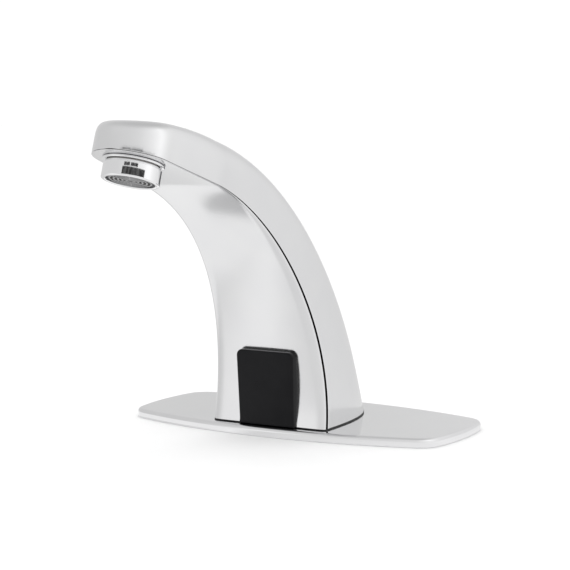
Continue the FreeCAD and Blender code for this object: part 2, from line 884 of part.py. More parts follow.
def base_block():
    """Brass block that fills the foot: studs, inlet and cable come in from below."""
    wide = 2 * foot_half_width
    slab = block(V(-wide, land_y + block_clearance, foot_z), V(wide, wide, block_top))
    body = slab.common(skin(shell_wall + block_clearance, foot=below_foot))
    notch = block(V(-block_notch_half_width, -wide, 0),
                  V(block_notch_half_width, -block_notch_back, wide))
    tools = [notch]
    for side in (-1, 1):
        at = V(side * stud_spacing / 2, stud_offset, foot_z)
        tools.append(cylinder(stud_hole_radius, stud_hole_depth, at))
    inlet = V(inlet_x, valve_y, foot_z)
    tools.append(cylinder(inlet_thread_radius, block_height, inlet))
    socket_at = V(inlet_x, valve_y, spigot_foot_z)
    tools.append(cylinder(inlet_spigot_radius + thread_fit, block_height, socket_at))
    tools.append(cylinder(gland_radius + thread_fit, block_height, V(gland_x, valve_y, foot_z)))
    flange_recess = cylinder(gland_flange_radius + hole_clearance, gland_flange_thickness,
                             V(gland_x, valve_y, foot_z))
    tools.append(flange_recess)
    for x, y in ((rear_boss_x, rear_boss_y), (front_boss_x, -front_boss_y)):
        for side in (-1, 1):
            at = V(side * x, y, foot_z)
            tools.append(cylinder(body_screw_radius + hole_clearance, block_height, at))
            tools.append(cylinder(body_screw_head_radius + hole_clearance,
                                  body_screw_head_height + 0.4, at))
    for x, y in valve_screw_places():
        at = V(x, y, block_top - valve_screw_length)
        tools.append(cylinder(valve_screw_radius + thread_fit, valve_screw_length, at))
    return cut_all(body, tools)


def valve_screw_places():
    y = valve_y + valve_flange_half
    return [(inlet_x - valve_screw_left, y), (inlet_x + valve_screw_right, y)]


def base_screws():
    start = foot_z + body_screw_head_height
    screws = []
    for x, y in ((rear_boss_x, rear_boss_y), (front_boss_x, -front_boss_y)):
        for side in (-1, 1):
            screws.append(socket_screw(V(side * x, y, start), UP, body_screw_head_radius,
                                       body_screw_head_height, body_screw_radius,
                                       body_screw_length))
    return Part.makeCompound(screws)


def cable_gland():
    at = V(gland_x, valve_y, foot_z)
    flange = cylinder(gland_flange_radius, gland_flange_thickness, at)
    barrel = cylinder(gland_radius, block_height + gland_rise, at)
    nut = polygon_prism([V(gland_x + 5.6 * math.cos(k * math.pi / 3),
                           valve_y + 5.6 * math.sin(k * math.pi / 3), block_top)
                         for k in range(6)], V(0, 0, gland_rise - 0.6))
    bore = cylinder(cable_bore_radius, block_height + gland_rise, at)
    return fuse_all([flange, barrel, nut]).cut(bore)


def inlet_filter():
    """Mesh disc with a rim, under the check valve."""
    z = spigot_foot_z - 0.15
    rim = ring(filter_radius, filter_radius - 0.8, filter_thickness, V(inlet_x, valve_y, z))
    bars = []
    for k in range(-2, 3):
        offset = k * 1.4
        half = math.sqrt((filter_radius - 0.4) ** 2 - offset ** 2)
        bars.append(block(V(inlet_x + offset - 0.2, valve_y - half, z),
                          V(inlet_x + offset + 0.2, valve_y + half, z + filter_thickness / 2)))
        bars.append(block(V(inlet_x - half, valve_y + offset - 0.2, z + filter_thickness / 4),
                          V(inlet_x + half, valve_y + offset + 0.2, z + filter_thickness * 0.75)))
    return fuse_all([rim] + bars)


def check_valve_body():
    at = V(inlet_x, valve_y, check_z)
    tube = cylinder(check_body_radius, check_length, at)
    tools = [cylinder(check_seat_radius, check_length - spider_thickness, at),
             cylinder(check_bore_radius, check_length - check_seat_thickness - spider_thickness,
                      V(inlet_x, valve_y, check_seat_z)),
             cylinder(poppet_stem_radius + thread_fit, check_length, at)]
    for k in range(spider_holes):
        angle = 2 * math.pi * k / spider_holes
        hole = V(inlet_x + spider_pitch_radius * math.cos(angle),
                 valve_y + spider_pitch_radius * math.sin(angle), spider_z)
        tools.append(cylinder(spider_hole_radius, spider_thickness, hole))
    return cut_all(tube, tools)


def check_poppet():
    at = V(inlet_x, valve_y, check_seat_z)
    disc = cylinder(poppet_radius, poppet_thickness, at)
    stem_top = spider_z + spider_thickness - at.z
    stem = cylinder(poppet_stem_radius, stem_top, at)
    return disc.fuse(stem)


def check_spring():
    start = check_seat_z + poppet_thickness + spring_wire_radius
    length = spider_z - start - spring_wire_radius
    return spring(V(inlet_x, valve_y, start), FreeCAD.Rotation(), check_spring_radius, length,
                  check_spring_turns)


def inlet_seal():
    """O-ring that seats between the spigot's foot and the block's socket."""
    z = spigot_foot_z + spigot_seat_rise + oring_radius
    return Part.makeTorus(inlet_spigot_radius - oring_radius, oring_radius, V(inlet_x, valve_y, z))


# ---- solenoid valve -----------------------------------------------------------------------

def on_axis(x):
    return V(x, valve_y, valve_z)


def along_axis(radius, x_from, x_to):
    return cylinder(radius, x_to - x_from, on_axis(x_from), ALONG_X)


def bonnet_screw_centres():
    d = bonnet_screw_offset
    return [(valve_y + a * d, valve_z + b * d) for a in (-1, 1) for b in (-1, 1)]


def square_flange(x_from, x_to):
    half = valve_flange_half
    return block(V(x_from, valve_y - half, valve_z - half), V(x_to, valve_y + half, valve_z + half))


def valve_body():
    """Plastic body: inlet spigot below, ring-shaped inlet chamber, seat, outlet socket above."""
    x_start = valve_face_x - valve_length
    barrel = along_axis(valve_radius, x_start, valve_face_x)
    flange = square_flange(valve_face_x - valve_flange_thickness, valve_face_x)
    spigot = cylinder(inlet_spigot_radius, valve_z - spigot_foot_z,
                      V(inlet_x, valve_y, spigot_foot_z))
    socket_base = valve_z + valve_radius - 2.0
    socket = cylinder(tube_radius + socket_wall, 2.0 + socket_length + 1.0,
                      V(outlet_port_x, valve_y, socket_base))
    (left, y), (right, _) = valve_screw_places()
    foot = block(V(left - 2.8, valve_y - 8.0, block_top),
                 V(right + 2.8, y + 2.8, block_top + valve_foot_thickness))
    beyond_face = block(V(valve_face_x, valve_y - 20, block_top + spigot_trim_rise),
                        V(valve_face_x + 20, valve_y + 20, valve_z + 20))
    body = fuse_all([barrel, flange, spigot, socket, foot]).cut(beyond_face)
    socket_top = socket_base + 2.0 + socket_length + 1.0
    tools = [
        along_axis(seat_bore_radius, outlet_port_x - seat_bore_radius - 0.6,
                   valve_face_x - seat_setback),
        cylinder(outlet_port_bore, socket_top - valve_z, V(outlet_port_x, valve_y, valve_z)),
        cylinder(tube_radius + tube_fit, socket_length, V(outlet_port_x, valve_y,
                                                         socket_top - socket_length)),
        cylinder(inlet_spigot_bore, check_z + check_length - spigot_foot_z,
                 V(inlet_x, valve_y, spigot_foot_z)),
        cylinder(seat_bore_radius, valve_z - seat_radius - 1.5 - check_z,
                 V(inlet_x, valve_y, check_z)),
        ring(inlet_chamber_radius, seat_radius, inlet_chamber_depth,
             on_axis(valve_face_x - inlet_chamber_depth), ALONG_X),
        along_axis(inlet_chamber_radius, valve_face_x - seat_setback, valve_face_x),
        ring(inlet_spigot_radius + 0.5, inlet_spigot_radius - 2 * oring_radius, 2 * oring_radius,
             V(inlet_x, valve_y, spigot_foot_z + spigot_seat_rise)),
    ]
    for y_hole, z_hole in bonnet_screw_centres():
        tools.append(cylinder(bonnet_screw_radius + thread_fit, bonnet_screw_length,
                              V(valve_face_x - bonnet_screw_length + bonnet_thickness, y_hole,
                                z_hole), ALONG_X))
    for x_hole, y_hole in valve_screw_places():
        tools.append(cylinder(valve_screw_radius + hole_clearance, valve_foot_thickness,
                              V(x_hole, y_hole, block_top)))
        tools.append(cylinder(valve_screw_head_radius + hole_clearance, valve_z - block_top,
                              V(x_hole, y_hole, block_top + valve_foot_thickness)))
    return cut_all(body, tools)


def valve_screws():
    screws = []
    for x, y in valve_screw_places():
        at = V(x, y, block_top + valve_foot_thickness)
        screws.append(socket_screw(at, V(0, 0, -1), valve_screw_head_radius,
                                   valve_screw_head_height, valve_screw_radius,
                                   valve_screw_length))
    return Part.makeCompound(screws)


def diaphragm():
    """Rubber disc, clamped at its rim, with a thick centre that closes the seat."""
    disc = along_axis(diaphragm_radius, valve_face_x, valve_face_x + diaphragm_thickness)
    pad = along_axis(diaphragm_boss_radius, valve_face_x - seat_setback, valve_face_x)
    hub = along_axis(insert_hub_radius + thread_fit, valve_face_x - 2.0, valve_face_x + 2.0)
    return disc.fuse(pad).cut(hub).removeSplitter()


def diaphragm_insert():
    """Plastic centre of the diaphragm, with the pilot hole and a bleed hole."""
    flange = along_axis(diaphragm_boss_radius, insert_face_x - insert_flange_thickness,
                        insert_face_x)
    hub = along_axis(insert_hub_radius, valve_face_x - seat_setback - 0.6, insert_face_x)
    pilot = along_axis(0.8, valve_face_x - 3.0, insert_face_x)
    bleed = cylinder(insert_bleed_radius, 3.0, V(insert_face_x - 2.0, valve_y + 4.0, valve_z),
                     ALONG_X)
    return flange.fuse(hub).cut([pilot, bleed]).removeSplitter()


def bonnet():
    body = square_flange(valve_face_x, bonnet_end_x)
    tools = [
        along_axis(diaphragm_radius + thread_fit, valve_face_x,
                   valve_face_x + diaphragm_thickness),
        along_axis(pilot_chamber_radius, valve_face_x, bonnet_end_x - bonnet_wall),
        along_axis(core_tube_outer_radius + thread_fit, valve_face_x, bonnet_end_x),
    ]
    for y, z in bonnet_screw_centres():
        tools.append(cylinder(bonnet_screw_radius + hole_clearance, bonnet_thickness,
                              V(valve_face_x, y, z), ALONG_X))
    return cut_all(body, tools)


def bonnet_screws():
    return Part.makeCompound([
        socket_screw(V(bonnet_end_x, y, z), V(-1, 0, 0), bonnet_screw_head_radius,
                     bonnet_screw_head_height, bonnet_screw_radius, bonnet_screw_length)
        for y, z in bonnet_screw_centres()])


def core_tube():
    """Closed steel tube that the plunger runs in, with its flange inside the bonnet."""
    flange = along_axis(core_flange_radius, core_start_x, core_start_x + core_flange_thickness)
    tube = along_axis(core_tube_outer_radius, core_start_x, core_end_x)
    bore = along_axis(core_tube_outer_radius - core_tube_wall, core_start_x,
                      core_end_x - core_tube_wall)
    return flange.fuse(tube).cut(bore).removeSplitter()


def core_stop():
    """Fixed iron core in the closed end of the tube."""
    return along_axis(core_tube_outer_radius - core_tube_wall - 0.02, core_stop_x,
                      core_end_x - core_tube_wall)


def plunger():
    tip_end = insert_face_x + plunger_tip_length
    tip = along_axis(plunger_tip_radius, insert_face_x, tip_end)
    rod = along_axis(plunger_radius, tip_end, plunger_end_x)
    bore = along_axis(plunger_bore_radius, plunger_end_x - plunger_bore_depth, plunger_end_x)
    return tip.fuse(rod).cut(bore).removeSplitter()


def plunger_spring():
    start = plunger_end_x - plunger_bore_depth + spring_wire_radius
    length = core_stop_x - spring_wire_radius - start
    turn = FreeCAD.Rotation(UP, ALONG_X)
    return spring(on_axis(start), turn, plunger_spring_radius, length, plunger_spring_turns)


def yoke_start_x():
    return bonnet_end_x + thread_fit


def coil_start_x():
    return yoke_start_x() + yoke_thickness


def solenoid_coil():
    """Moulded coil on the core tube."""
    start = coil_start_x() + 0.05
    end = start + coil_length - 0.1
    body = along_axis(coil_radius, start, end)
    bore = along_axis(core_tube_outer_radius + coil_clearance, start, end)
    entry = cylinder(lead_radius + 1.0, 1.6, V(lead_exit.x, lead_exit.y, lead_exit.z - 1.0))
    hole = cylinder(lead_radius + thread_fit, 4.0, lead_exit)
    return fuse_all([body.cut(bore), entry]).cut(hole)


def solenoid_yoke():
    """Bent steel strap round the coil, held by the core tube through both ends."""
    start = yoke_start_x()
    far = coil_start_x() + coil_length
    low = valve_z - yoke_half_height
    parts = []
    for x in (start, far):
        parts.append(block(V(x, valve_y - yoke_half_width, low),
                           V(x + yoke_thickness, valve_y + yoke_half_width,
                             valve_z + yoke_half_height)))
    parts.append(block(V(start, valve_y - yoke_half_width, low - yoke_thickness),
                       V(far + yoke_thickness, valve_y + yoke_half_width, low)))
    yoke = fuse_all(parts)
    tools = [along_axis(core_tube_outer_radius + thread_fit, start - 1.0, far + 3.0)]
    for y, z in bonnet_screw_centres():
        tools.append(cylinder(bonnet_screw_head_radius + hole_clearance, 2.0,
                              V(bonnet_end_x, y, z), ALONG_X))
    return cut_all(yoke, tools)


# ---- outlet tube and fitting --------------------------------------------------------------

def tube_path():
    socket_top = valve_z + valve_radius + socket_length + 1.0
    start = V(outlet_port_x, valve_y, socket_top - socket_length + 0.4)
    above = V(outlet_port_x, valve_y, socket_top + 6.0)
    lower = bernstein(SEAM, 0.53) * 0.5 + bernstein(CROWN, 0.53) * 0.5
    upper = bernstein(SEAM, 0.74) * 0.5 + bernstein(CROWN, 0.74) * 0.5
    before_head = head_point(fitting_socket_end + 28.0, fitting_socket_rise)
    end = head_point(fitting_dome_radius + 0.8, fitting_socket_rise)
    points = [start, above, lower, upper, before_head, end]
    radii = [tube_first_bend_radius] + [tube_bend_radius] * 3
    return rounded_path(points, radii)


def outlet_tube():
    path = tube_path()
    return tube_along(path, tube_radius).cut(tube_along(path, tube_bore_radius))


def outlet_fitting():
    """Brass fitting in the head: tube socket behind, threaded nipple for the aerator below."""
    base = cover_thickness + head_play
    top = fitting_dome_height
    nipple = cylinder(nipple_radius, base + nipple_end, V(0, 0, -nipple_end))
    flange = cylinder(fitting_flange_radius, fitting_flange_thickness, V(0, 0, base))
    ears = block(V(-fitting_ear_half_width, 0, base),
                 V(fitting_ear_half_width, fitting_ear_end, base + fitting_flange_thickness))
    dome = cylinder(fitting_dome_radius, top - base, V(0, 0, base))
    socket = cylinder(tube_radius + socket_wall, fitting_socket_end, V(0, 0, fitting_socket_rise),
                      V(0, 1, 0))
    body = fuse_all([nipple, flange, ears, dome, socket])
    socket_bore_start = fitting_dome_radius + 0.5
    tools = [
        cylinder(nipple_bore_radius, top - fitting_wall + nipple_end, V(0, 0, -nipple_end)),
        cylinder(tube_bore_radius, fitting_socket_end, V(0, 0, fitting_socket_rise), V(0, 1, 0)),
        cylinder(tube_radius + tube_fit, fitting_socket_end,
                 V(0, socket_bore_start, fitting_socket_rise), V(0, 1, 0)),
    ]
    for side in (-1, 1):
        at = V(side * head_screw_x, head_screw_y, base)
        tools.append(cylinder(head_screw_radius + hole_clearance, fitting_flange_thickness, at))
        tools.append(cylinder(head_screw_head_radius + hole_clearance, head_screw_head_height, at))
    return at_head(cut_all(body, tools))


def head_screws():
    screws = []
    for side in (-1, 1):
        at = V(side * head_screw_x, head_screw_y, cover_thickness + head_screw_head_height)
        screws.append(at_head(socket_screw(at, UP, head_screw_head_radius,
                                           head_screw_head_height, head_screw_radius,
                                           head_screw_length)))
    return Part.makeCompound(screws)


def nipple_nut():
    """Thin ring nut that clamps the cover's underside to the fitting."""
    nut = ring(nut_radius, nipple_radius + thread_fit, nut_thickness,
               V(0, 0, -nut_thickness - head_play))
    return at_head(nut)


# ---- aerator ------------------------------------------------------------------------------

def aerator_collar():
    """Chromed ring that screws on to the nipple and carries the insert on its lip."""
    top = -nut_thickness - collar_gap
    bore = nipple_radius + thread_running_clearance
    body = cylinder(collar_radius, top + collar_drop, V(0, 0, -collar_drop))
    outer_edge = [edge for edge in body.Edges
                  if len(edge.Vertexes) == 1 and abs(edge.Vertexes[0].Z + collar_drop) < 0.001]
    body = body.makeFillet(0.5, outer_edge)
    step = ring(collar_radius + 1.0, collar_radius - collar_top_step, collar_top_step_height,
                V(0, 0, top - collar_top_step_height))
    lip = cylinder(collar_lip_radius, collar_lip_thickness, V(0, 0, -collar_drop))
    inside = cylinder(bore, collar_drop, V(0, 0, collar_lip_thickness - collar_drop))
    return at_head(body.cut([step, lip, inside]))


def insert_base_z():
    return collar_lip_thickness - collar_drop + 0.05


def aerator_cartridge():
    """Plastic insert: flange on the collar's lip, tube inside the nipple, perforated top."""
    z = insert_base_z()
    flange = cylinder(insert_flange_radius, insert_flange_height, V(0, 0, z))
    tube = cylinder(cartridge_radius, cartridge_height, V(0, 0, z))
    bore = cylinder(cartridge_radius - cartridge_wall, cartridge_height - cartridge_top, V(0, 0, z))
    tools = [bore]
    for k in range(cartridge_holes):
        angle = 2 * math.pi * k / cartridge_holes
        at = V(cartridge_hole_pitch * math.cos(angle), cartridge_hole_pitch * math.sin(angle), z)
        tools.append(cylinder(cartridge_hole_radius, cartridge_height, at))
    return at_head(flange.fuse(tube).cut(tools).removeSplitter())


def aerator_screens():
    """Two fine discs stacked in the cartridge."""
    discs = []
    for k in range(2):
        z = insert_base_z() + 1.6 + k * screen_spacing
        radius = cartridge_radius - cartridge_wall - screen_fit
        disc = cylinder(radius, screen_thickness, V(0, 0, z))
        holes = []
        for row in range(1, 4):
            count = 6 * row
            for n in range(count):
                angle = 2 * math.pi * n / count
                at = V(row * 1.7 * math.cos(angle), row * 1.7 * math.sin(angle), z)
                holes.append(cylinder(0.35, screen_thickness, at))
        discs.append(at_head(disc.cut(holes)))
    return Part.makeCompound(discs)


def flow_regulator():
    """Rubber-ringed disc that rests on the cartridge and limits the flow."""
    z = insert_base_z() + cartridge_height
    disc = cylinder(nipple_bore_radius - regulator_fit - 0.3, regulator_thickness, V(0, 0, z))
    holes = []
    for k in range(4):
        angle = math.pi * k / 2
        at = V(3.2 * math.cos(angle), 3.2 * math.sin(angle), z)
        holes.append(cylinder(regulator_hole_radius, regulator_thickness, at))
    return at_head(disc.cut(holes))


def aerator_washer():
    """Rubber washer between the nipple's end and the insert's flange."""
    z = insert_base_z() + insert_flange_height
    height = -nipple_end - z - 0.02
    return at_head(ring(insert_flange_radius, cartridge_radius + 0.2, height, V(0, 0, z)))


def outlet_grid():
    """Outlet face: concentric rings joined by ribs."""
    z = insert_base_z() - grid_thickness
    pitch = grid_radius / (grid_rings + 0.5)
    pieces = [cylinder(pitch * 0.5, grid_thickness, V(0, 0, z))]
    for k in range(grid_rings):
        outer = grid_radius - k * pitch
        pieces.append(ring(outer, outer - grid_ring_width, grid_thickness, V(0, 0, z)))
    half = grid_rib_width / 2
    for k in range(grid_ribs // 2):
        rib = block(V(-grid_radius + 0.3, -half, z), V(grid_radius - 0.3, half, z + grid_thickness))
        rib.rotate(ORIGIN, UP, 180.0 * k / (grid_ribs // 2))
        pieces.append(rib)
    return at_head(fuse_all(pieces))


# ---- all pieces ---------------------------------------------------------------------------

PIECES = {
    "deck_plate": deck_plate,
    "deck_gasket": deck_gasket,
    "foot_gasket": foot_gasket,
    "rear_shell": rear_shell,
    "front_cover": front_cover,
    "sensor_window": sensor_window,
    "window_gasket": window_gasket,
    "sensor_case": sensor_case,
    "sensor_board": sensor_board,
    "ir_emitter": lambda: domed_led(-led_spacing / 2),
    "ir_receiver": lambda: domed_led(led_spacing / 2),
    "light_baffle": light_baffle,
    "status_led": status_led,
    "sensor_screws": sensor_screws,
    "solenoid_lead": solenoid_lead,
    "base_block": base_block,
    "base_screws": base_screws,
    "cable_gland": cable_gland,
    "inlet_filter": inlet_filter,
    "check_valve_body": check_valve_body,
    "check_poppet": check_poppet,
    "check_spring": check_spring,
    "inlet_seal": inlet_seal,
    "valve_body": valve_body,
    "valve_screws": valve_screws,
    "diaphragm": diaphragm,
    "diaphragm_insert": diaphragm_insert,
    "bonnet": bonnet,
    "bonnet_screws": bonnet_screws,
    "core_tube": core_tube,
    "core_stop": core_stop,
    "plunger": plunger,
    "plunger_spring": plunger_spring,
    "solenoid_coil": solenoid_coil,
    "solenoid_yoke": solenoid_yoke,
    "outlet_tube": outlet_tube,
    "outlet_fitting": outlet_fitting,
    "head_screws": head_screws,
    "nipple_nut": nipple_nut,
    "aerator_collar": aerator_collar,
    "aerator_cartridge": aerator_cartridge,
    "aerator_screens": aerator_screens,
    "flow_regulator": flow_regulator,
    "aerator_washer": aerator_washer,
    "outlet_grid": outlet_grid,
}

os.makedirs("parts", exist_ok=True)
for name, make in PIECES.items():
    shape = make()
    shape.exportStep(f"parts/{name}.step")
    box = shape.BoundBox
    print(f"{name:18s} solids {len(shape.Solids):2d} valid {shape.isValid()} "
          f"volume {shape.Volume:9.1f}  x {box.XMin:7.2f} {box.XMax:7.2f}  "
          f"y {box.YMin:7.2f} {box.YMax:7.2f}  z {box.ZMin:7.2f} {box.ZMax:7.2f}")
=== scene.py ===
# %% [markdown]
# # A chromed sensor tap, dressed in Blender
#
# The tap is an arched spout on a bowed deck plate. Two chromed shells meet along a dark seam,
# a black window in the foot hides an infra-red sensor, and a screw-on aerator hangs under the
# head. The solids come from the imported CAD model. They could simply be coloured, but their curved
# faces are cut into small flat facets, and chrome shows every one of them. So the inner pieces
# only get their finish here, and the polished outer pieces are made again as smooth meshes.

# %% Load the frame
import json
import math
import bmesh
import bpy
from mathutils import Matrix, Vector

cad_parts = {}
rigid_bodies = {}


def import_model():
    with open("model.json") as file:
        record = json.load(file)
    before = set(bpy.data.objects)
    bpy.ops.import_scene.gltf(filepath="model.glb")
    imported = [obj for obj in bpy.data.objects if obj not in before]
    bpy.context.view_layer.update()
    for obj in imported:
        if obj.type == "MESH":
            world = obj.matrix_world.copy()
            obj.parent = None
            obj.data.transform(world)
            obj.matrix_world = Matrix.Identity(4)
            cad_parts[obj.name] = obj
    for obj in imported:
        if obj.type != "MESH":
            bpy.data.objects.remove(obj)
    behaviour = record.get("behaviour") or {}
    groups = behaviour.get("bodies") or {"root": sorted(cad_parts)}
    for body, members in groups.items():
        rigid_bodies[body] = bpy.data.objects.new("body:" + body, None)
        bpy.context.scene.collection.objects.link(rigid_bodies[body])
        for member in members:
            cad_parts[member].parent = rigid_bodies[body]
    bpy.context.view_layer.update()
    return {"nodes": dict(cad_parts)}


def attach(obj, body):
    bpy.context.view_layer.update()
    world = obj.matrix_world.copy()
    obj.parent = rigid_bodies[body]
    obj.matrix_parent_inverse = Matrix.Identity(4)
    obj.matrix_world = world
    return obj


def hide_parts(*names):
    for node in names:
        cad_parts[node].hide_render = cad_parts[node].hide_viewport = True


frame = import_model()

# %% [markdown]
# All sizes below are millimetres, as a product designer writes them, and one helper turns a
# list of points into a mesh in metres. A cube with bevel and subdivision modifiers would be
# quicker to draw, but points from formulas keep the solid's exact size. Faces are smooth, and
# edges sharper than a set angle are marked, so that a highlight runs over a rounded surface and
# still breaks at a real edge.

# %% Mesh helper
MM = 0.001


def mesh_piece(name, verts, faces, material, body, replaced=(), sharp=40, painted_faces=()):
    """A piece of the tap from points in millimetres, riding on a CAD body.

    The last argument lists the faces that take the second material, a near-black painted shade.
    """
    mesh = bpy.data.meshes.new(name)
    mesh.from_pydata([(x * MM, y * MM, z * MM) for x, y, z in verts], [], faces)
    for index in painted_faces:
        mesh.polygons[index].material_index = 1
    cleaned = bmesh.new()
    cleaned.from_mesh(mesh)
    bmesh.ops.remove_doubles(cleaned, verts=cleaned.verts, dist=1e-7)
    bmesh.ops.recalc_face_normals(cleaned, faces=cleaned.faces)
    cleaned.to_mesh(mesh)
    cleaned.free()
    mesh.shade_smooth()
    mesh.set_sharp_from_angle(angle=math.radians(sharp))
    piece = bpy.data.objects.new(name, mesh)
    bpy.context.scene.collection.objects.link(piece)
    piece.data.materials.append(material)
    if painted_faces:
        piece.data.materials.append(PAINTED_SHADE)
    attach(piece, body)
    if replaced:
        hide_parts(*replaced)
    return piece


def grid_faces(rows, columns, wrap=True, closed_rows=False):
    """Quads between rows of points laid out one row after another."""
    faces = []
    for r in range(rows if closed_rows else rows - 1):
        for c in range(columns if wrap else columns - 1):
            d = (c + 1) % columns
            s = (r + 1) % rows
            faces.append((r * columns + c, r * columns + d, s * columns + d, s * columns + c))
    return faces


print("helpers ready")

# %% [markdown]
# ## The finishes
#
# Chrome on brass isn't a perfect mirror: polishing leaves faint marks, and the plating follows
# small waves in the casting. Painted maps could show that, but they need an unwrapped surface.
# Noise in the object's own space needs none and never shows a joint, so every finish here is
# built from four small helpers: a noise, a change of its range, a colour ramp and a bump.

# %% Node helpers
def new_material(name):
    material = bpy.data.materials.new(name)
    material.use_nodes = True
    tree = material.node_tree
    shader = tree.nodes["Principled BSDF"]
    return material, tree, shader


def noise(tree, scale, detail=4.0, stretch=(1, 1, 1), roughness=0.5):
    """Noise in metres of the object itself, so its grain has a real size."""
    where = tree.nodes.new("ShaderNodeTexCoord")
    size = tree.nodes.new("ShaderNodeMapping")
    size.inputs["Scale"].default_value = stretch
    texture = tree.nodes.new("ShaderNodeTexNoise")
    texture.inputs["Scale"].default_value = scale
    texture.inputs["Detail"].default_value = detail
    texture.inputs["Roughness"].default_value = roughness
    tree.links.new(where.outputs["Object"], size.inputs["Vector"])
    tree.links.new(size.outputs["Vector"], texture.inputs["Vector"])
    return texture


def spread(tree, source, low, high, start=0.35, end=0.65):
    """Maps a texture's usual range to low..high."""
    node = tree.nodes.new("ShaderNodeMapRange")
    node.inputs["From Min"].default_value = start
    node.inputs["From Max"].default_value = end
    node.inputs["To Min"].default_value = low
    node.inputs["To Max"].default_value = high
    tree.links.new(source, node.inputs["Value"])
    return node.outputs["Result"]


def ramp(tree, source, stops):
    node = tree.nodes.new("ShaderNodeValToRGB")
    node.color_ramp.elements[0].position = stops[0][0]
    node.color_ramp.elements[0].color = (*stops[0][1], 1)
    node.color_ramp.elements[1].position = stops[-1][0]
    node.color_ramp.elements[1].color = (*stops[-1][1], 1)
    for place, colour in stops[1:-1]:
        node.color_ramp.elements.new(place).color = (*colour, 1)
    tree.links.new(source, node.inputs["Fac"])
    return node.outputs["Color"]


def bump(tree, shader, source, height, strength=0.5):
    node = tree.nodes.new("ShaderNodeBump")
    node.inputs["Distance"].default_value = height
    node.inputs["Strength"].default_value = strength
    tree.links.new(source, node.inputs["Height"])
    tree.links.new(node.outputs["Normal"], shader.inputs["Normal"])


print("node helpers ready")

# %% [markdown]
# The shells and the plate are polished and chromed, the screws are turned steel, the block is
# machined brass, and the inside of a shell takes a near-black painted shade. Each could have a
# shader of its own.
# One recipe with other numbers is easier to compare: two tones that a noise mixes, a band of
# roughness, and a bump whose height is a few thousandths of a millimetre.

# %% Metals
def metal(name, tone, dark, rough, grain=900.0, stretch=(1, 1, 1), height=2e-6, wave=60.0):
    material, tree, shader = new_material(name)
    shader.inputs["Metallic"].default_value = 1.0
    fine = noise(tree, grain, 6.0, stretch)
    broad = noise(tree, wave, 3.0)
    tree.links.new(ramp(tree, broad.outputs["Fac"], [(0.3, dark), (0.7, tone)]),
                   shader.inputs["Base Color"])
    tree.links.new(spread(tree, fine.outputs["Fac"], *rough), shader.inputs["Roughness"])
    bump(tree, shader, fine.outputs["Fac"], height)
    return material


CHROME = metal("chrome_body", (0.755, 0.755, 0.76), (0.735, 0.735, 0.745), (0.14, 0.17),
               grain=1500.0, height=5e-7)
CHROME_COVER = metal("chrome_cover", (0.755, 0.755, 0.76), (0.735, 0.735, 0.745), (0.15, 0.18),
                     grain=1500.0, height=5e-7)
CHROME_PLATE = metal("chrome_plate", (0.77, 0.77, 0.775), (0.75, 0.75, 0.76), (0.10, 0.13),
                     grain=1500.0, height=4e-7)
CHROME_BRIGHT = metal("chrome_mirror", (0.84, 0.84, 0.845), (0.82, 0.82, 0.83), (0.03, 0.055),
                      grain=1200.0, height=6e-7)
STEEL = metal("steel_turned", (0.62, 0.62, 0.64), (0.50, 0.50, 0.52), (0.22, 0.38),
              grain=1400.0, stretch=(1, 1, 9), height=4e-6)
BRASS = metal("brass_machined", (0.80, 0.62, 0.30), (0.66, 0.47, 0.20), (0.20, 0.36),
              grain=1000.0, stretch=(9, 1, 1), height=5e-6)
# Nickel darkened well below its own tone: partly real dull nickel, partly painted shade for the gap
# between the ring and the collar.
NICKEL_SHADED = metal("nickel_painted_shade", (0.30, 0.29, 0.28), (0.22, 0.21, 0.20), (0.34, 0.48),
               grain=900.0, height=3e-6)
# Near-black painted shade for the slot faces inside the shells and for the outlet disc; no real
# finish here is this dark.
PAINTED_SHADE = metal("painted_shade_black", (0.035, 0.033, 0.030), (0.022, 0.020, 0.018), (0.5, 0.65),
                 grain=700.0, height=8e-6)
PRESSED_STEEL = metal("steel_pressed", (0.58, 0.58, 0.59), (0.44, 0.44, 0.46), (0.30, 0.45),
                     grain=700.0, height=6e-6)
print("metals:", [m.name for m in (CHROME, CHROME_COVER, CHROME_PLATE, CHROME_BRIGHT, STEEL)])

# %% [markdown]
# Seals are rubber, the valve and the sensor's case are moulded plastic, and both carry the fine
# grain of their mould. The sensor window is the opposite: a polished dark plastic that lets
# infra-red through. Real transmission would show nothing behind it and cost time, so the window
# is an almost black surface with a low refractive index, which keeps its reflection faint.

# %% Plastics and rubber
def moulded(name, tone, dark, rough, grain=1800.0, height=8e-6, coat=0.0, ior=1.46):
    material, tree, shader = new_material(name)
    fine = noise(tree, grain, 5.0)
    broad = noise(tree, 120.0, 3.0)
    tree.links.new(ramp(tree, broad.outputs["Fac"], [(0.3, dark), (0.7, tone)]),
                   shader.inputs["Base Color"])
    tree.links.new(spread(tree, fine.outputs["Fac"], *rough), shader.inputs["Roughness"])
    bump(tree, shader, fine.outputs["Fac"], height)
    shader.inputs["IOR"].default_value = ior
    shader.inputs["Coat Weight"].default_value = coat
    return material


WINDOW_BLACK = moulded("window_black", (0.006, 0.006, 0.007), (0.004, 0.004, 0.005),
                       (0.08, 0.14), grain=2600.0, height=4e-7, ior=1.24)
RUBBER = moulded("rubber_black", (0.016, 0.016, 0.017), (0.009, 0.009, 0.010), (0.50, 0.68))
CASE = moulded("case_black", (0.045, 0.045, 0.05), (0.030, 0.030, 0.034), (0.42, 0.58))
ACETAL = moulded("acetal_white", (0.80, 0.80, 0.78), (0.70, 0.70, 0.67), (0.32, 0.46))
TUBE = moulded("tube_white", (0.83, 0.83, 0.80), (0.76, 0.76, 0.72), (0.22, 0.34))
BOARD = moulded("board_green", (0.02, 0.16, 0.06), (0.015, 0.11, 0.04), (0.28, 0.42), coat=0.4)
LED = moulded("led_tinted", (0.10, 0.10, 0.16), (0.07, 0.07, 0.12), (0.05, 0.12), coat=0.5)
GRID = moulded("grid_grey", (0.30, 0.30, 0.305), (0.22, 0.22, 0.225), (0.26, 0.42), height=1.2e-5)
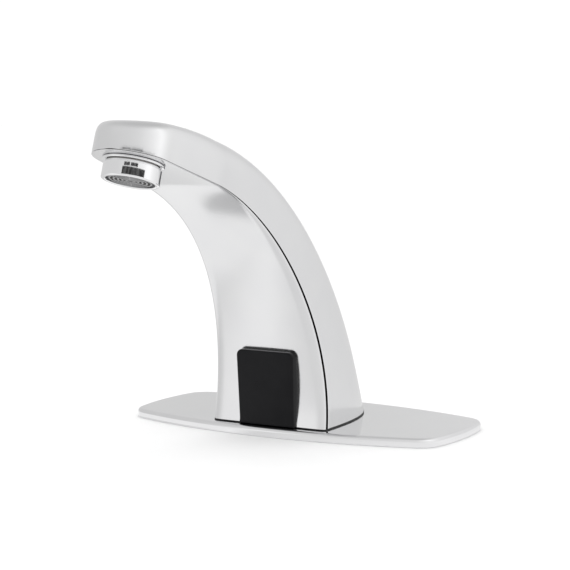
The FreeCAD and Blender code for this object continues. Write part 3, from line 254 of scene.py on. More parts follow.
print("plastics:", [m.name for m in (WINDOW_BLACK, RUBBER, CASE, ACETAL, TUBE, BOARD, LED, GRID)])

# %% [markdown]
# Screws, springs, seals, the valve, the solenoid and the sensor keep their CAD shape, because
# they hide inside the spout. They could be dressed one by one. A table does it in one place,
# and stops with an error if a node has been forgotten.

# %% Finish the CAD solids that stay
FINISHES = {
    "deck_gasket": RUBBER, "foot_gasket": RUBBER, "window_gasket": RUBBER, "inlet_seal": RUBBER,
    "diaphragm": RUBBER, "aerator_washer": RUBBER, "solenoid_lead": RUBBER,
    "sensor_case": CASE, "light_baffle": CASE, "cable_gland": CASE, "solenoid_coil": CASE,
    "aerator_cartridge": CASE, "sensor_board": BOARD,
    "ir_emitter": LED, "ir_receiver": LED, "status_led": LED,
    "sensor_screws": STEEL, "base_screws": STEEL, "valve_screws": STEEL, "bonnet_screws": STEEL,
    "head_screws": STEEL, "check_spring": STEEL, "plunger_spring": STEEL, "core_tube": STEEL,
    "core_stop": PRESSED_STEEL, "plunger": PRESSED_STEEL, "solenoid_yoke": PRESSED_STEEL,
    "inlet_filter": STEEL, "aerator_screens": STEEL,
    "base_block": BRASS, "outlet_fitting": NICKEL_SHADED,
    "check_valve_body": ACETAL, "check_poppet": ACETAL, "valve_body": ACETAL,
    "diaphragm_insert": ACETAL, "bonnet": ACETAL, "flow_regulator": ACETAL,
    "outlet_tube": TUBE,
    "rear_shell": CHROME, "front_cover": CHROME_COVER, "deck_plate": CHROME_PLATE,
    "sensor_window": WINDOW_BLACK, "nipple_nut": CHROME_BRIGHT, "aerator_collar": CHROME_BRIGHT,
    "outlet_grid": GRID,
}
for name, node in frame["nodes"].items():
    finish = FINISHES[name]
    if not node.material_slots:
        node.data.materials.append(finish)
    for place in node.material_slots:
        place.material = finish
print("finished solids:", len(FINISHES))

# %% [markdown]
# ## The arched body
#
# The spout is a bent, tapering casting. It could be sculpted, or lofted between curve objects,
# but its two shells have to share one surface, and a formula gives both of them the same one.
# Two curves in the side view carry it: the seam, where the shells meet, and the crown along the
# back. Both are cubic Bezier curves. At the same parameter they give the two ends of a section,
# whose outline is a superellipse: nearly round at the foot and squarer at the head. The same
# four-value rule blends the half width and the roundness along the arch.

# %% Curves of the body
FOOT_Z = 5.0
TILT = math.radians(18.4)
HEAD_UP = Vector((0, math.sin(TILT), math.cos(TILT)))
FORWARD = Vector((0, -math.cos(TILT), math.sin(TILT)))
HEAD_CENTRE = Vector((0, -143.05, 130.8))
HEAD_HALF_WIDTH, NOSE_RADIUS, HEAD_LENGTH = 20.3, 17.5, 35.1
NECK_DEPTH, HEAD_DEPTH, NOSE_DEPTH = 21.0, 19.6, 12.9
SEAM_HANDLE, CROWN_HANDLE = 54.8, 78.5
reach = HEAD_LENGTH + NOSE_RADIUS
seam_end = HEAD_CENTRE - FORWARD * HEAD_LENGTH
crown_end = seam_end + HEAD_UP * NECK_DEPTH
crown_middle = seam_end + FORWARD * (reach / 2) + HEAD_UP * HEAD_DEPTH
crown_tip = seam_end + FORWARD * reach + HEAD_UP * NOSE_DEPTH
crown_run = (crown_middle - crown_end).normalized()
SEAM = [Vector((0, -34.4, FOOT_Z)), Vector((0, -27.4, FOOT_Z + 48.0)),
        seam_end - FORWARD * SEAM_HANDLE, seam_end]
CROWN = [Vector((0, 30.1, FOOT_Z)), Vector((0, 3.1, FOOT_Z + 50.5)),
         crown_end - crown_run * CROWN_HANDLE, crown_end]
HEAD_CROWN = [crown_end, crown_middle, crown_tip]
HALF_WIDTHS = [29.8, 28.2, 18.0, HEAD_HALF_WIDTH]
ROUNDNESS = [2.7, 3.0, 6.5, 4.2]
NOSE_ROUNDNESS = 7.0
BULGES = [0.8, 1.4, 2.4, 0.0]


def bezier(values, u):
    """Point or number at share `u` of a Bezier curve with any count of handles."""
    last = len(values) - 1
    total = values[0] * 0.0
    for k, value in enumerate(values):
        total = total + value * (math.comb(last, k) * u ** k * (1 - u) ** (last - k))
    return total


ARCH_ROWS, HEAD_ROWS, NOSE_ROWS = 96, 14, 26
NOSE_END = 0.9995
STATIONS = [("arch", k / ARCH_ROWS) for k in range(ARCH_ROWS)]
STATIONS += [("head", k / HEAD_ROWS) for k in range(HEAD_ROWS)]
STATIONS += [("nose", math.sin(k / NOSE_ROWS * math.pi / 2)) for k in range(NOSE_ROWS)]
STATIONS += [("nose", NOSE_END), ("tip", NOSE_END)]
print("stations along the body:", len(STATIONS))

# %% [markdown]
# The head ends in a half-round nose. A separate cap could close it, but its joint would show in
# the chrome. Instead the sections run on, and each one slides forward as its width closes, like
# the end of a running track seen from above. Every point can also lie `inset` millimetres inside
# the skin, which is how the shell gets its thickness and its rolled rim.

# %% One station of the body
def station(kind, value, inset=0.0):
    """Seam point, section direction, depth, half width, roundness, bulge, nose share."""
    if kind == "arch":
        seam, crown = bezier(SEAM, value), bezier(CROWN, value)
        wide, exponent, bulge = (bezier(r, value) for r in (HALF_WIDTHS, ROUNDNESS, BULGES))
        share = 0.0
    else:
        share = value if kind in ("nose", "tip") else 0.0
        along = HEAD_LENGTH * value
        if kind != "head":
            along = HEAD_LENGTH + (NOSE_RADIUS - inset) * share
        seam = seam_end + FORWARD * along
        crown = bezier(HEAD_CROWN, along / reach)
        way = min(1.0, along / HEAD_LENGTH)
        wide = HEAD_HALF_WIDTH + (NOSE_RADIUS - HEAD_HALF_WIDTH) * way
        exponent, bulge = ROUNDNESS[-1] + (NOSE_ROUNDNESS - ROUNDNESS[-1]) * way, 0.0
    up = (crown - seam).normalized()
    return seam, up, (crown - seam).length, wide, exponent, bulge, share


def half_span(where, wide, share):
    """Half width left at this row; the last row of the nose closes to a line."""
    return 0.0 if where[0] == "tip" else wide * math.sqrt(1 - share ** 2)


def skin_point(where, angle, inset=0.0):
    seam, up, depth, wide, exponent, _, share = station(*where, inset)
    across = abs(math.cos(angle)) ** (2 / exponent) * math.sqrt(1 - share ** 2)
    rest = max(0.0, 1 - (across ** 2 + share ** 2) ** (exponent / 2))
    x = 0.0 if where[0] == "tip" else math.copysign((wide - inset) * across, math.cos(angle))
    return seam + up * ((depth - inset) * rest ** (1 / exponent)) + Vector((x, 0, 0))


def rim_point(where, side, inset, rise):
    seam, up, _, wide, _, _, share = station(*where, inset)
    return seam + up * rise + Vector((side * half_span(where, wide - inset, share), 0, 0))


print("crown at the middle:", [round(c, 1) for c in bezier(CROWN, 0.5)])

# %% [markdown]
# ### The seam
#
# The two shells meet on the side of the spout, a little behind the front edge. The slot between
# them is wide at the foot and hair thin at the head, and the eye reads it as a black line. It
# could be painted on the chrome, but a real slot keeps the bright rim next to it; its inner faces
# take a near-black painted shade, so it stays black from every side. Three small Bezier rules say
# where it runs along the arch.

# %% Where the seam's slot runs
SLOT_BASE = [0.1, 0.1, 0.3, 0.3]
SLOT_WIDE = [2.4, 2.3, 1.1, 0.12]
COVER_PROUD = [1.4, 1.4, 1.3, 0.0]


def slot(where):
    """Rise of the slot's front side, its width, and how proud the cover's edge stands."""
    u = where[1] if where[0] == "arch" else 1.0
    return bezier(SLOT_BASE, u), bezier(SLOT_WIDE, u), bezier(COVER_PROUD, u)


print("slot at the foot, middle and head:",
      [[round(v, 2) for v in slot(("arch", u))] for u in (0, 0.5, 1)])

# %% [markdown]
# ### The rear shell
#
# It is a brass casting, about two millimetres thick, whose rim is rolled over so that it catches
# a thin white highlight beside the dark slot. A solidify modifier would thicken a plain surface,
# but it leaves a square rim. So each row of the mesh is a closed loop: over the outside, round
# the rim, and back along the inside.

# %% Rows of the rear shell
WALL, RIM, ROLL = 2.2, 1.5, 0.4
RIM_DEPTH, WALL_START = 0.9, 0.95
ACROSS, ROLL_STEPS = 72, 6


def rim_profile():
    """(inset, rise) from the outer skin round the rolled rim to the inner wall."""
    curve = []
    for k in range(ROLL_STEPS + 1):
        a = k / ROLL_STEPS * math.pi / 2
        curve.append((ROLL * (1 - math.cos(a)), ROLL * (1 - math.sin(a))))
    return curve + [(RIM, 0.0), (RIM, RIM_DEPTH), (WALL, WALL_START)]


def column_angles(count):
    """Angles packed towards the two sides, where the section turns fastest."""
    return [math.pi * (k / count - 0.11 * math.sin(4 * math.pi * k / count) / math.pi)
            for k in range(1, count)]


def skin_row(where, inset, lowest):
    """Skin points over the crown; those below `lowest` move up the side wall to it."""
    seam, up, *_ = station(*where, inset)
    points = []
    for angle in column_angles(ACROSS):
        point = skin_point(where, angle, inset)
        if (point - seam).dot(up) < lowest:
            point = rim_point(where, 1 if angle < math.pi / 2 else -1, inset, lowest)
        points.append(point)
    return points


def shell_loop(where):
    base, wide, _ = slot(where)
    start = base + wide
    profile = [(inset, start + rise) for inset, rise in rim_profile()]
    loop = skin_row(where, 0.0, start + ROLL * 1.5)
    loop += [rim_point(where, -1, inset, rise) for inset, rise in profile]
    loop += reversed(skin_row(where, WALL, start + 1.2))
    loop += [rim_point(where, 1, inset, rise) for inset, rise in reversed(profile)]
    return loop


print("points round one row:", len(shell_loop(STATIONS[0])))

# %% [markdown]
# The slot has to read black, so the inside of the casting takes a near-black painted shade. Two
# objects, one inside the other, could show that, but a single closed mesh has a real thickness. So
# the rows are joined by quads, the foot's end is closed between the outer and the inner skin, and
# only the inner faces take the dark second material, the painted shade.

# %% Rear shell
def foot_cap(top, rim):
    """Faces that close the first row between the outer and the inner skin."""
    inner = [top + rim + (top - 1 - c) for c in range(top)]
    faces = [(c, c + 1, inner[c + 1], inner[c]) for c in range(top - 1)]
    faces.append([top - 1] + [top + k for k in range(rim)] + [inner[-1]])
    faces.append([inner[0]] + [2 * top + rim + k for k in range(rim)] + [0])
    return faces


def inside_faces(columns, rows, first, last):
    """Faces in columns first..last-1 of every row of a grid."""
    return [r * columns + c for r in range(rows - 1) for c in range(first, last)]


loops = [shell_loop(where) for where in STATIONS]
columns = len(loops[0])
verts = [tuple(p) for loop in loops for p in loop]
faces = grid_faces(len(loops), columns) + foot_cap(ACROSS - 1, len(rim_profile()))
slot_shade = inside_faces(columns, len(loops), ACROSS - 1 + ROLL_STEPS, columns - ROLL_STEPS - 1)
shell = mesh_piece("rear_shell_skin", verts, faces, CHROME, "body", ["rear_shell"],
                   sharp=50, painted_faces=slot_shade)
print("rear shell:", len(verts), "points,", len(faces), "faces")

# %% [markdown]
# ### The front cover
#
# The cover is as wide as the shell. Its face swells a little across the width and falls away at
# both sides along a quarter ellipse, which is what draws the grey band beside the bright front.
# Behind the edge it steps inwards, so that the slot stays open. A bevel would make a round
# edge of one width, where this one has to flatten out towards the head, so a rule draws it.

# %% Front cover
COVER_THICK = 2.9
EDGE_WIDE, EDGE_DROP = 5.0, 1.35
STEP, SIDE_GAP = RIM + 0.35, 0.02


def cover_loop(where, count=56):
    seam, up, _, wide, _, bulge, share = station(*where, SIDE_GAP)
    base, _, proud = slot(where)
    side = half_span(where, wide - SIDE_GAP, share)
    inner = half_span(where, wide - STEP, share)
    fall = min(EDGE_DROP, (proud + base) * 0.9)
    edge = min(EDGE_WIDE * fall / EDGE_DROP, side * 0.45) if side else 1.0
    loop = []
    for k in range(count + 1):
        angle = math.pi * k / count
        x = side * math.cos(angle)
        near = max(0.0, 1 - (side - abs(x)) / edge) if side else 0.0
        drop = fall * (1 - math.sqrt(1 - near ** 2))
        out = proud + max(0.0, bulge - proud) * math.sin(angle) ** 2 - drop
        loop.append(seam - up * out + Vector((x, 0, 0)))
    for x, rise in ((-side, base), (-inner, base), (-inner, COVER_THICK), (inner, COVER_THICK),
                    (inner, base), (side, base)):
        loop.append(seam + up * rise + Vector((x, 0, 0)))
    return loop


loops = [cover_loop(where) for where in STATIONS]
columns = len(loops[0])
verts = [tuple(p) for loop in loops for p in loop]
faces = grid_faces(len(loops), columns) + [list(range(columns))]
# The cover's inner step faces take the same near-black painted shade as the slot.
slot_shade = inside_faces(columns, len(loops), columns - 6, columns - 1)
cover = mesh_piece("front_cover_skin", verts, faces, CHROME_COVER, "body", ["front_cover"],
                   sharp=50, painted_faces=slot_shade)
print("front cover:", len(verts), "points")

# %% [markdown]
# ## The deck plate
#
# The plate is a thin bowed sheet of cast brass that covers the basin's three holes. A cube with
# a bevel modifier would have straight sides. Here four shallow arcs make the bowed outline, and
# four small arcs round its corners. The corner's centre lies where it is tangent to both arcs.

# %% Outline of the plate
def circle_through(a, b, c):
    """Centre and radius of the circle through three points in the plane."""
    ax, ay, bx, by, cx, cy = *a, *b, *c
    a2, b2, c2 = (x ** 2 + y ** 2 for x, y in (a, b, c))
    d = 2 * (ax * (by - cy) + bx * (cy - ay) + cx * (ay - by))
    ux = (a2 * (by - cy) + b2 * (cy - ay) + c2 * (ay - by)) / d
    uy = (a2 * (cx - bx) + b2 * (ax - cx) + c2 * (bx - ax)) / d
    return Vector((ux, uy)), math.hypot(ax - ux, ay - uy)


HALF, END_HALF_DEPTH, MID_HALF_DEPTH, END_BOW, CORNER = 80.0, 28.5, 42.5, 3.3, 11.8
long_centre, long_radius = circle_through((HALF, END_HALF_DEPTH), (0, MID_HALF_DEPTH),
                                          (-HALF, END_HALF_DEPTH))
end_centre, end_radius = circle_through((HALF, END_HALF_DEPTH), (HALF + END_BOW, 0),
                                        (HALF, -END_HALF_DEPTH))
line = end_centre - long_centre
a_radius, b_radius = long_radius - CORNER, end_radius - CORNER
along = (a_radius ** 2 - b_radius ** 2 + line.length ** 2) / (2 * line.length)
across = math.sqrt(a_radius ** 2 - along ** 2)
unit = line.normalized()
picks = [long_centre + unit * along + Vector((-unit.y, unit.x)) * across * s for s in (1, -1)]
corner_centre = max(picks, key=lambda p: min(p.x, p.y))


def quarter_outline(inset, steps=(44, 20, 30)):
    """Points of the +X +Y quarter from the middle of the long side to the middle of the end."""
    join_long = (corner_centre - long_centre).normalized()
    join_end = (corner_centre - end_centre).normalized()
    long_angle = math.atan2(join_long.y, join_long.x)
    end_angle = math.atan2(join_end.y, join_end.x)
    points = []
    for k in range(steps[0]):
        a = math.pi / 2 + (long_angle - math.pi / 2) * k / steps[0]
        points.append(long_centre + Vector((math.cos(a), math.sin(a))) * (long_radius - inset))
    for k in range(steps[1]):
        a = long_angle + (end_angle - long_angle) * k / steps[1]
        points.append(corner_centre + Vector((math.cos(a), math.sin(a))) * (CORNER - inset))
    for k in range(steps[2] + 1):
        a = end_angle * (1 - k / steps[2])
        points.append(end_centre + Vector((math.cos(a), math.sin(a))) * (end_radius - inset))
    return points


def plate_outline(inset):
    quarter = quarter_outline(inset)
    right = quarter + [Vector((p.x, -p.y)) for p in reversed(quarter[:-1])]
    return right + [Vector((-p.x, p.y)) for p in reversed(right[1:-1])]


print("plate outline:", len(plate_outline(0.0)), "points")

# %% [markdown]
# Seen in section, the plate is a shallow tray turned over: a rounded top edge, a flat top with a
# hole for the tap's studs, and a recess below for the gasket. Boolean cuts would leave long thin
# triangles that spoil the reflection. Rings of points, each a copy of the outline at another
# inset and height, keep the top made of clean quads.

# %% Deck plate
PLATE_THICK, EDGE_ROUND, RIM_WALL, TOP_WALL = 4.4, 1.8, 3.0, 1.6
FOOT_CHAMFER = 0.25
HOLE, HOLE_WALL = 17.5, 2.5
TOP_RINGS = 12


def plate_rings():
    """(inset, height) of the rings from the foot of the edge to the flat top."""
    rings = [(FOOT_CHAMFER, 0.0), (0.0, FOOT_CHAMFER), (0.0, 1.2)]
    for k in range(11):
        a = k / 10 * math.pi / 2
        rings.append((EDGE_ROUND * (1 - math.cos(a)),
                      PLATE_THICK - EDGE_ROUND + EDGE_ROUND * math.sin(a)))
    return rings


def build_plate():
    rows = []
    for inset, z in plate_rings():
        rows.append([(p.x, p.y, z) for p in plate_outline(inset)])
    base = plate_outline(EDGE_ROUND)
    circle = [p.normalized() * HOLE for p in base]
    for k in range(1, TOP_RINGS + 1):
        rows.append([(*(p.lerp(c, k / TOP_RINGS)), PLATE_THICK) for p, c in zip(base, circle)])
    rows.append([(*c, 0.0) for c in circle])
    hub = [p.normalized() * (HOLE + HOLE_WALL) for p in base]
    rows.append([(*c, 0.0) for c in hub])
    rows.append([(*c, PLATE_THICK - TOP_WALL) for c in hub])
    recess = plate_outline(RIM_WALL)
    rows.append([(p.x, p.y, PLATE_THICK - TOP_WALL) for p in recess])
    rows.append([(p.x, p.y, 0.0) for p in recess])
    return [p for row in rows for p in row], grid_faces(len(rows), len(base), True, True)


verts, faces = build_plate()
plate = mesh_piece("deck_plate_skin", verts, faces, CHROME_PLATE, "body", ["deck_plate"],
                   sharp=35)
print("deck plate:", len(verts), "points")

# %% [markdown]
# ## The sensor window
#
# A polished black cap stands a few millimetres proud of the cover, and the sensor looks out
# through it. Its top corners are round, its sides widen a little at the foot, and its face leans
# with the cover. A bevelled cube could come close, but the lean and the flare would need hand
# work, so the outline is drawn once and repeated at growing insets round the edge.

# %% Sensor window
WINDOW_TOP, WINDOW_FOOT, WINDOW_HIGH, WINDOW_CORNER = 15.1, 14.4, 34.4, 3.0
WINDOW_BASE, WINDOW_FACE, WINDOW_LEAN = 5.3, -38.0, 2.0
WINDOW_HEM, WINDOW_BACK, WINDOW_EDGE, WINDOW_CROWN = 0.72, -33.4, 0.9, 0.35


def window_outline(inset, side_steps=26, corner_steps=10):
    """Right half from the foot's middle up to the top's middle, as (x, z)."""
    low = WINDOW_BASE - WINDOW_HEM + inset
    high = WINDOW_BASE + WINDOW_HIGH - inset
    radius = max(0.3, WINDOW_CORNER - inset)
    points = [(k / 8 * (WINDOW_FOOT - inset), low) for k in range(8)]
    top = high - radius
    for k in range(side_steps + 1):
        z = low + (top - low) * k / side_steps
        share = (z - WINDOW_BASE) / WINDOW_HIGH
        flare = 0.45 * max(0.0, 1 - (z - low) / 3.2) ** 2
        points.append((WINDOW_FOOT + (WINDOW_TOP - WINDOW_FOOT) * share + flare - inset, z))
    centre_x = points[-1][0] - radius
    for k in range(1, corner_steps + 1):
        a = k / corner_steps * math.pi / 2
        points.append((centre_x + radius * math.cos(a), top + radius * math.sin(a)))
    points += [(centre_x * (1 - k / 8), high) for k in range(1, 9)]
    return points


def window_loop(inset, y_of_z, shrink=1.0, mid=(0.0, 22.0)):
    right = window_outline(inset)
    loop = right + [(-x, z) for x, z in reversed(right[1:-1])]
    scaled = [(mid[0] + (x - mid[0]) * shrink, mid[1] + (z - mid[1]) * shrink) for x, z in loop]
    return [(x, y_of_z(x, z), z) for x, z in scaled]


def window_face(x, z):
    crown = WINDOW_CROWN * (1 - (x / WINDOW_TOP) ** 2)
    return WINDOW_FACE - WINDOW_LEAN * (z - WINDOW_BASE) / WINDOW_HIGH - crown + WINDOW_CROWN


rows = [window_loop(0.0, lambda x, z: WINDOW_BACK)]
for k in range(9):
    a = k / 8 * math.pi / 2
    back = WINDOW_EDGE * (1 - math.sin(a))
    inset = WINDOW_EDGE * (1 - math.cos(a))
    rows.append(window_loop(inset, lambda x, z: window_face(x, z) + back))
for shrink in (0.9, 0.75, 0.55, 0.35, 0.15):
    rows.append(window_loop(WINDOW_EDGE, window_face, shrink))
verts = [p for row in rows for p in row]
count = len(rows[0])
faces = grid_faces(len(rows), count)
faces += [list(range(count)), [(len(rows) - 1) * count + c for c in range(count)]]
window = mesh_piece("sensor_window_cap", verts, faces, WINDOW_BLACK, "body", ["sensor_window"],
                    sharp=50)
print("window:", len(verts), "points")

# %% [markdown]
# ## The aerator
#
# The aerator mixes air into the water and screws off for cleaning. Everything here is turned on
# a lathe, and Blender's Screw or Spin would turn a profile as well. The head leans, though, and
# an object here keeps its own axes straight. So a short function turns the profile, and another
# tips the points with the head.

# %% Turned pieces
AROUND = 160


def tipped(x, y, z):
    """From the outlet's own frame to the tap's frame."""
    place = HEAD_CENTRE - FORWARD * y + HEAD_UP * z
    return (place.x + x, place.y, place.z)


def turned(name, profile, material, body, replaced, sharp=35):
    verts = []
    for radius, height in profile:
        for k in range(AROUND):
            a = 2 * math.pi * k / AROUND
            verts.append(tipped(radius * math.cos(a), radius * math.sin(a), height))
    faces = grid_faces(len(profile), AROUND, True, True)
    return mesh_piece(name, verts, faces, material, body, replaced, sharp)


def rounded_corner(r, z, radius, start, steps=5):
    """A quarter circle of profile points about (r, z)."""
    return [(r + radius * math.cos(math.radians(start + 90 * k / steps)),
             z + radius * math.sin(math.radians(start + 90 * k / steps))) for k in range(steps + 1)]


print("points round a turned piece:", AROUND)

# %% [markdown]
# The collar is the chromed housing of the aerator, with crisp rounded edges. The ring above it is
# the bead that closes the gap under the head. A few extra points next to each edge hold the
# straight wall straight, because smooth shading would otherwise bend its reflection.

# %% Collar and ring
collar_profile = (
    rounded_corner(11.75, -8.15, 0.45, -90)
    + [(12.2, -8.0), (12.2, -7.7), (12.2, -5.0), (12.2, -2.9), (12.2, -2.6)]
    + rounded_corner(12.05, -2.5, 0.15, 0, 3)
    + [(11.72, -2.35)]
    + rounded_corner(11.55, -1.72, 0.17, 0, 3)
    + [(11.06, -1.55), (11.06, -7.6), (10.3, -7.6)]
    + rounded_corner(10.5, -8.4, 0.2, 180, 3)
)
collar = turned("aerator_collar_skin", collar_profile, CHROME_BRIGHT, "collar",
                ["aerator_collar"])
ring_profile = (
    rounded_corner(12.55, -0.62, 0.55, -90, 8)
    + rounded_corner(12.55, -0.62, 0.55, 0, 8)
    + [(11.06, -0.06), (11.06, -1.2)]
)
ring = turned("nipple_ring_skin", ring_profile, CHROME_BRIGHT, "body", ["nipple_nut"])
print("collar and ring:", len(collar.data.vertices) + len(ring.data.vertices), "points")

# %% [markdown]
# ### The outlet face
#
# The water leaves through a plastic face with concentric ridges joined by ribs. Five separate
# rings could be added by hand. A ring that repeats at growing radii is a job for Geometry Nodes,
# where the count stays easy to change: a line of points gives the count, each point's index sets
# the radius of an instanced circle, and a small profile is swept round it.

# %% Node group for concentric rings
def ring_nodes():
    """Node group: Count rings, Pitch apart, each with a round section of Thickness."""
    group = bpy.data.node_groups.new("concentric_rings", "GeometryNodeTree")
    face = group.interface
    face.new_socket("Geometry", in_out="INPUT", socket_type="NodeSocketGeometry")
    for name, kind, value in (("Count", "NodeSocketInt", 5), ("Pitch", "NodeSocketFloat", 0.0016),
                              ("Thickness", "NodeSocketFloat", 0.0005)):
        face.new_socket(name, in_out="INPUT", socket_type=kind).default_value = value
    face.new_socket("Finish", in_out="INPUT", socket_type="NodeSocketMaterial")
    face.new_socket("Geometry", in_out="OUTPUT", socket_type="NodeSocketGeometry")
    new, link = group.nodes.new, group.links.new
    given, result = new("NodeGroupInput"), new("NodeGroupOutput")
    line = new("GeometryNodeMeshLine")
    line.inputs["Offset"].default_value = (0, 0, 0)
    circle = new("GeometryNodeCurvePrimitiveCircle")
    circle.inputs["Resolution"].default_value = 96
    circle.inputs["Radius"].default_value = 1.0
    place = new("GeometryNodeInstanceOnPoints")
    index = new("GeometryNodeInputIndex")
    grow = new("ShaderNodeMath")
    grow.operation = "MULTIPLY_ADD"
    half = new("ShaderNodeMath")
    half.operation = "MULTIPLY"
    half.inputs[1].default_value = 0.9
    real = new("GeometryNodeRealizeInstances")
    section = new("GeometryNodeCurvePrimitiveCircle")
    section.inputs["Resolution"].default_value = 10
    sweep = new("GeometryNodeCurveToMesh")
    paint = new("GeometryNodeSetMaterial")
    smooth = new("GeometryNodeSetShadeSmooth")
    link(given.outputs["Count"], line.inputs["Count"])
    link(line.outputs["Mesh"], place.inputs["Points"])
    link(circle.outputs["Curve"], place.inputs["Instance"])
    link(index.outputs["Index"], grow.inputs[0])
    link(given.outputs["Pitch"], grow.inputs[1])
    link(given.outputs["Pitch"], half.inputs[0])
    link(half.outputs["Value"], grow.inputs[2])
    link(grow.outputs["Value"], place.inputs["Scale"])
    link(place.outputs["Instances"], real.inputs["Geometry"])
    link(given.outputs["Thickness"], section.inputs["Radius"])
    link(real.outputs["Geometry"], sweep.inputs["Curve"])
    link(section.outputs["Curve"], sweep.inputs["Profile Curve"])
    link(sweep.outputs["Mesh"], smooth.inputs["Geometry"])
    link(smooth.outputs["Geometry"], paint.inputs["Geometry"])
    link(given.outputs["Finish"], paint.inputs["Material"])
    link(paint.outputs["Geometry"], result.inputs["Geometry"])
    return group


print("ring_nodes ready")

# %% [markdown]
# A node group does nothing until a modifier runs it on an object. The modifier could stay on the
# piece, but a plain mesh opens in any program. So it runs on an empty start object, the result
# is copied out as a mesh, and the start object is thrown away.

# %% Rings as a plain mesh
def applied(name, group, settings, material):
    """Runs a node group on an empty mesh and returns the plain mesh it makes."""
    start = bpy.data.objects.new(name + "_start", bpy.data.meshes.new(name + "_start"))
    bpy.context.scene.collection.objects.link(start)
    nodes = start.modifiers.new("rings", "NODES")
    nodes.node_group = group
    for item in group.interface.items_tree:
        if item.item_type == "SOCKET" and item.in_out == "INPUT" and item.name in settings:
            nodes[item.identifier] = settings[item.name]
        if item.item_type == "SOCKET" and item.name == "Finish":
            nodes[item.identifier] = material
    start.update_tag()
    seen = start.evaluated_get(bpy.context.evaluated_depsgraph_get())
    mesh = bpy.data.meshes.new_from_object(seen)
    bpy.data.objects.remove(start)
    mesh.name = name
    return mesh


rings = applied("outlet_rings", ring_nodes(), {"Count": 5, "Pitch": 0.00178, "Thickness": 0.00042},
                GRID)
print("ring mesh:", len(rings.vertices), "points")

# %% [markdown]
# The rings stand on a thin disc and are tied together by six ribs. All of them are one moulding,
# so they are gathered in one bmesh and become one piece. Boolean unions would fuse them for real,
# but the ribs only have to touch the disc, and the ridges have to stay round.

# %% Disc and ribs of the outlet
RIDGE_HEIGHT, DISC_STEPS, RIB_COUNT = -7.86, 120, 6
DISC_PROFILE = [(0.001, -7.6), (8.45, -7.6), (8.45, -7.9), (8.3, -8.1), (0.001, -7.85)]
RIB_SECTION = [(-0.28, -7.8), (-0.2, -8.16), (0.2, -8.16), (0.28, -7.8)]
RIB_START, RIB_END = 1.4, 8.25


def add_disc(made):
    loops = []
    for radius, z in DISC_PROFILE:
        loops.append([made.verts.new((radius * math.cos(2 * math.pi * k / DISC_STEPS),
                                      radius * math.sin(2 * math.pi * k / DISC_STEPS), z))
                      for k in range(DISC_STEPS)])
    for low, high in zip(loops, loops[1:]):
        for k in range(DISC_STEPS):
            j = (k + 1) % DISC_STEPS
            made.faces.new((low[k], low[j], high[j], high[k]))


def add_rib(made, angle):
    along = Vector((math.cos(angle), math.sin(angle), 0))
    side = Vector((-math.sin(angle), math.cos(angle), 0))
    corners = []
    for r in (RIB_START, RIB_END):
        for s, z in RIB_SECTION:
            corners.append(made.verts.new(along * r + side * s + Vector((0, 0, z))))
    for i, j in ((0, 1), (1, 2), (2, 3)):
        made.faces.new((corners[i], corners[j], corners[j + 4], corners[i + 4]))


print("ribs:", RIB_COUNT)

# %% [markdown]
# The water comes out between the ridges, and the disc behind them lies in the dark. A lamp could
# leave it in shadow, but it is too close to the ridges for that. So the disc takes the dark
# second material, and the ridges and ribs keep the grey one.

# %% Outlet face
def outlet_face():
    """Points and faces of the whole face, and which faces belong to the dark disc."""
    made = bmesh.new()
    made.from_mesh(rings)
    for v in made.verts:
        v.co = Vector((v.co.x / MM, v.co.y / MM, v.co.z / MM + RIDGE_HEIGHT))
    ridges = len(made.faces)
    add_disc(made)
    disc = range(ridges, len(made.faces))
    for n in range(RIB_COUNT):
        add_rib(made, n * math.pi / 3)
    for v in made.verts:
        v.co = Vector(tipped(*v.co))
    verts = [tuple(v.co) for v in made.verts]
    for i, v in enumerate(made.verts):
        v.index = i
    faces = [[v.index for v in f.verts] for f in made.faces]
    made.free()
    return verts, faces, disc


verts, faces, disc = outlet_face()
outlet = mesh_piece("outlet_face", verts, faces, GRID, "aerator", ["outlet_grid"],
                    painted_faces=disc)
print("outlet face:", len(verts), "points")

# %% [markdown]
# ## Floor, light and camera
#
# The tap stands on a plain white table in front of a plain white wall. A picture of a room could
# light it, but it would print its windows on the chrome. A white world and a white floor give
# the even, soft light of a product photograph, and the grey in the metal is added on purpose.

# %% Floor and world
bpy.ops.mesh.primitive_plane_add(size=8.0, location=(0, 0, 0))
floor = bpy.context.object
floor.name = "floor"
floor_material, tree, shader = new_material("floor_white")
shader.inputs["Roughness"].default_value = 0.9
grain = noise(tree, 20.0, 3.0)
whites = [(0.3, (0.95, 0.95, 0.95)), (0.7, (0.97, 0.97, 0.97))]
tree.links.new(ramp(tree, grain.outputs["Fac"], whites), shader.inputs["Base Color"])
floor.data.materials.append(floor_material)

world = bpy.data.worlds.new("white_room")
bpy.context.scene.world = world
world.use_nodes = True
world.node_tree.nodes["Background"].inputs["Color"].default_value = (1.0, 1.0, 1.0, 1)
world.node_tree.nodes["Background"].inputs["Strength"].default_value = 1.06
bpy.context.scene.view_settings.view_transform = "Standard"
print("floor and world ready")

# %% [markdown]
# Polished chrome has almost no colour of its own: it shows what stands round it. A photographer
# puts such a part inside a light tent, and the grey steps in the metal are the tent's brighter
# and dimmer panels. Many separate panels could be placed, but one round tent is easier to tune.
# A radial gradient texture turns the compass direction into a number from 0 to 1, and a colour
# ramp turns that number into brightness. One ramp serves the low part of the wall and another
# the upper part, and the height mixes them. Only reflections can see the tent.

# %% Light tent
TENT_RADIUS, TENT_HIGH = 0.33, 0.55
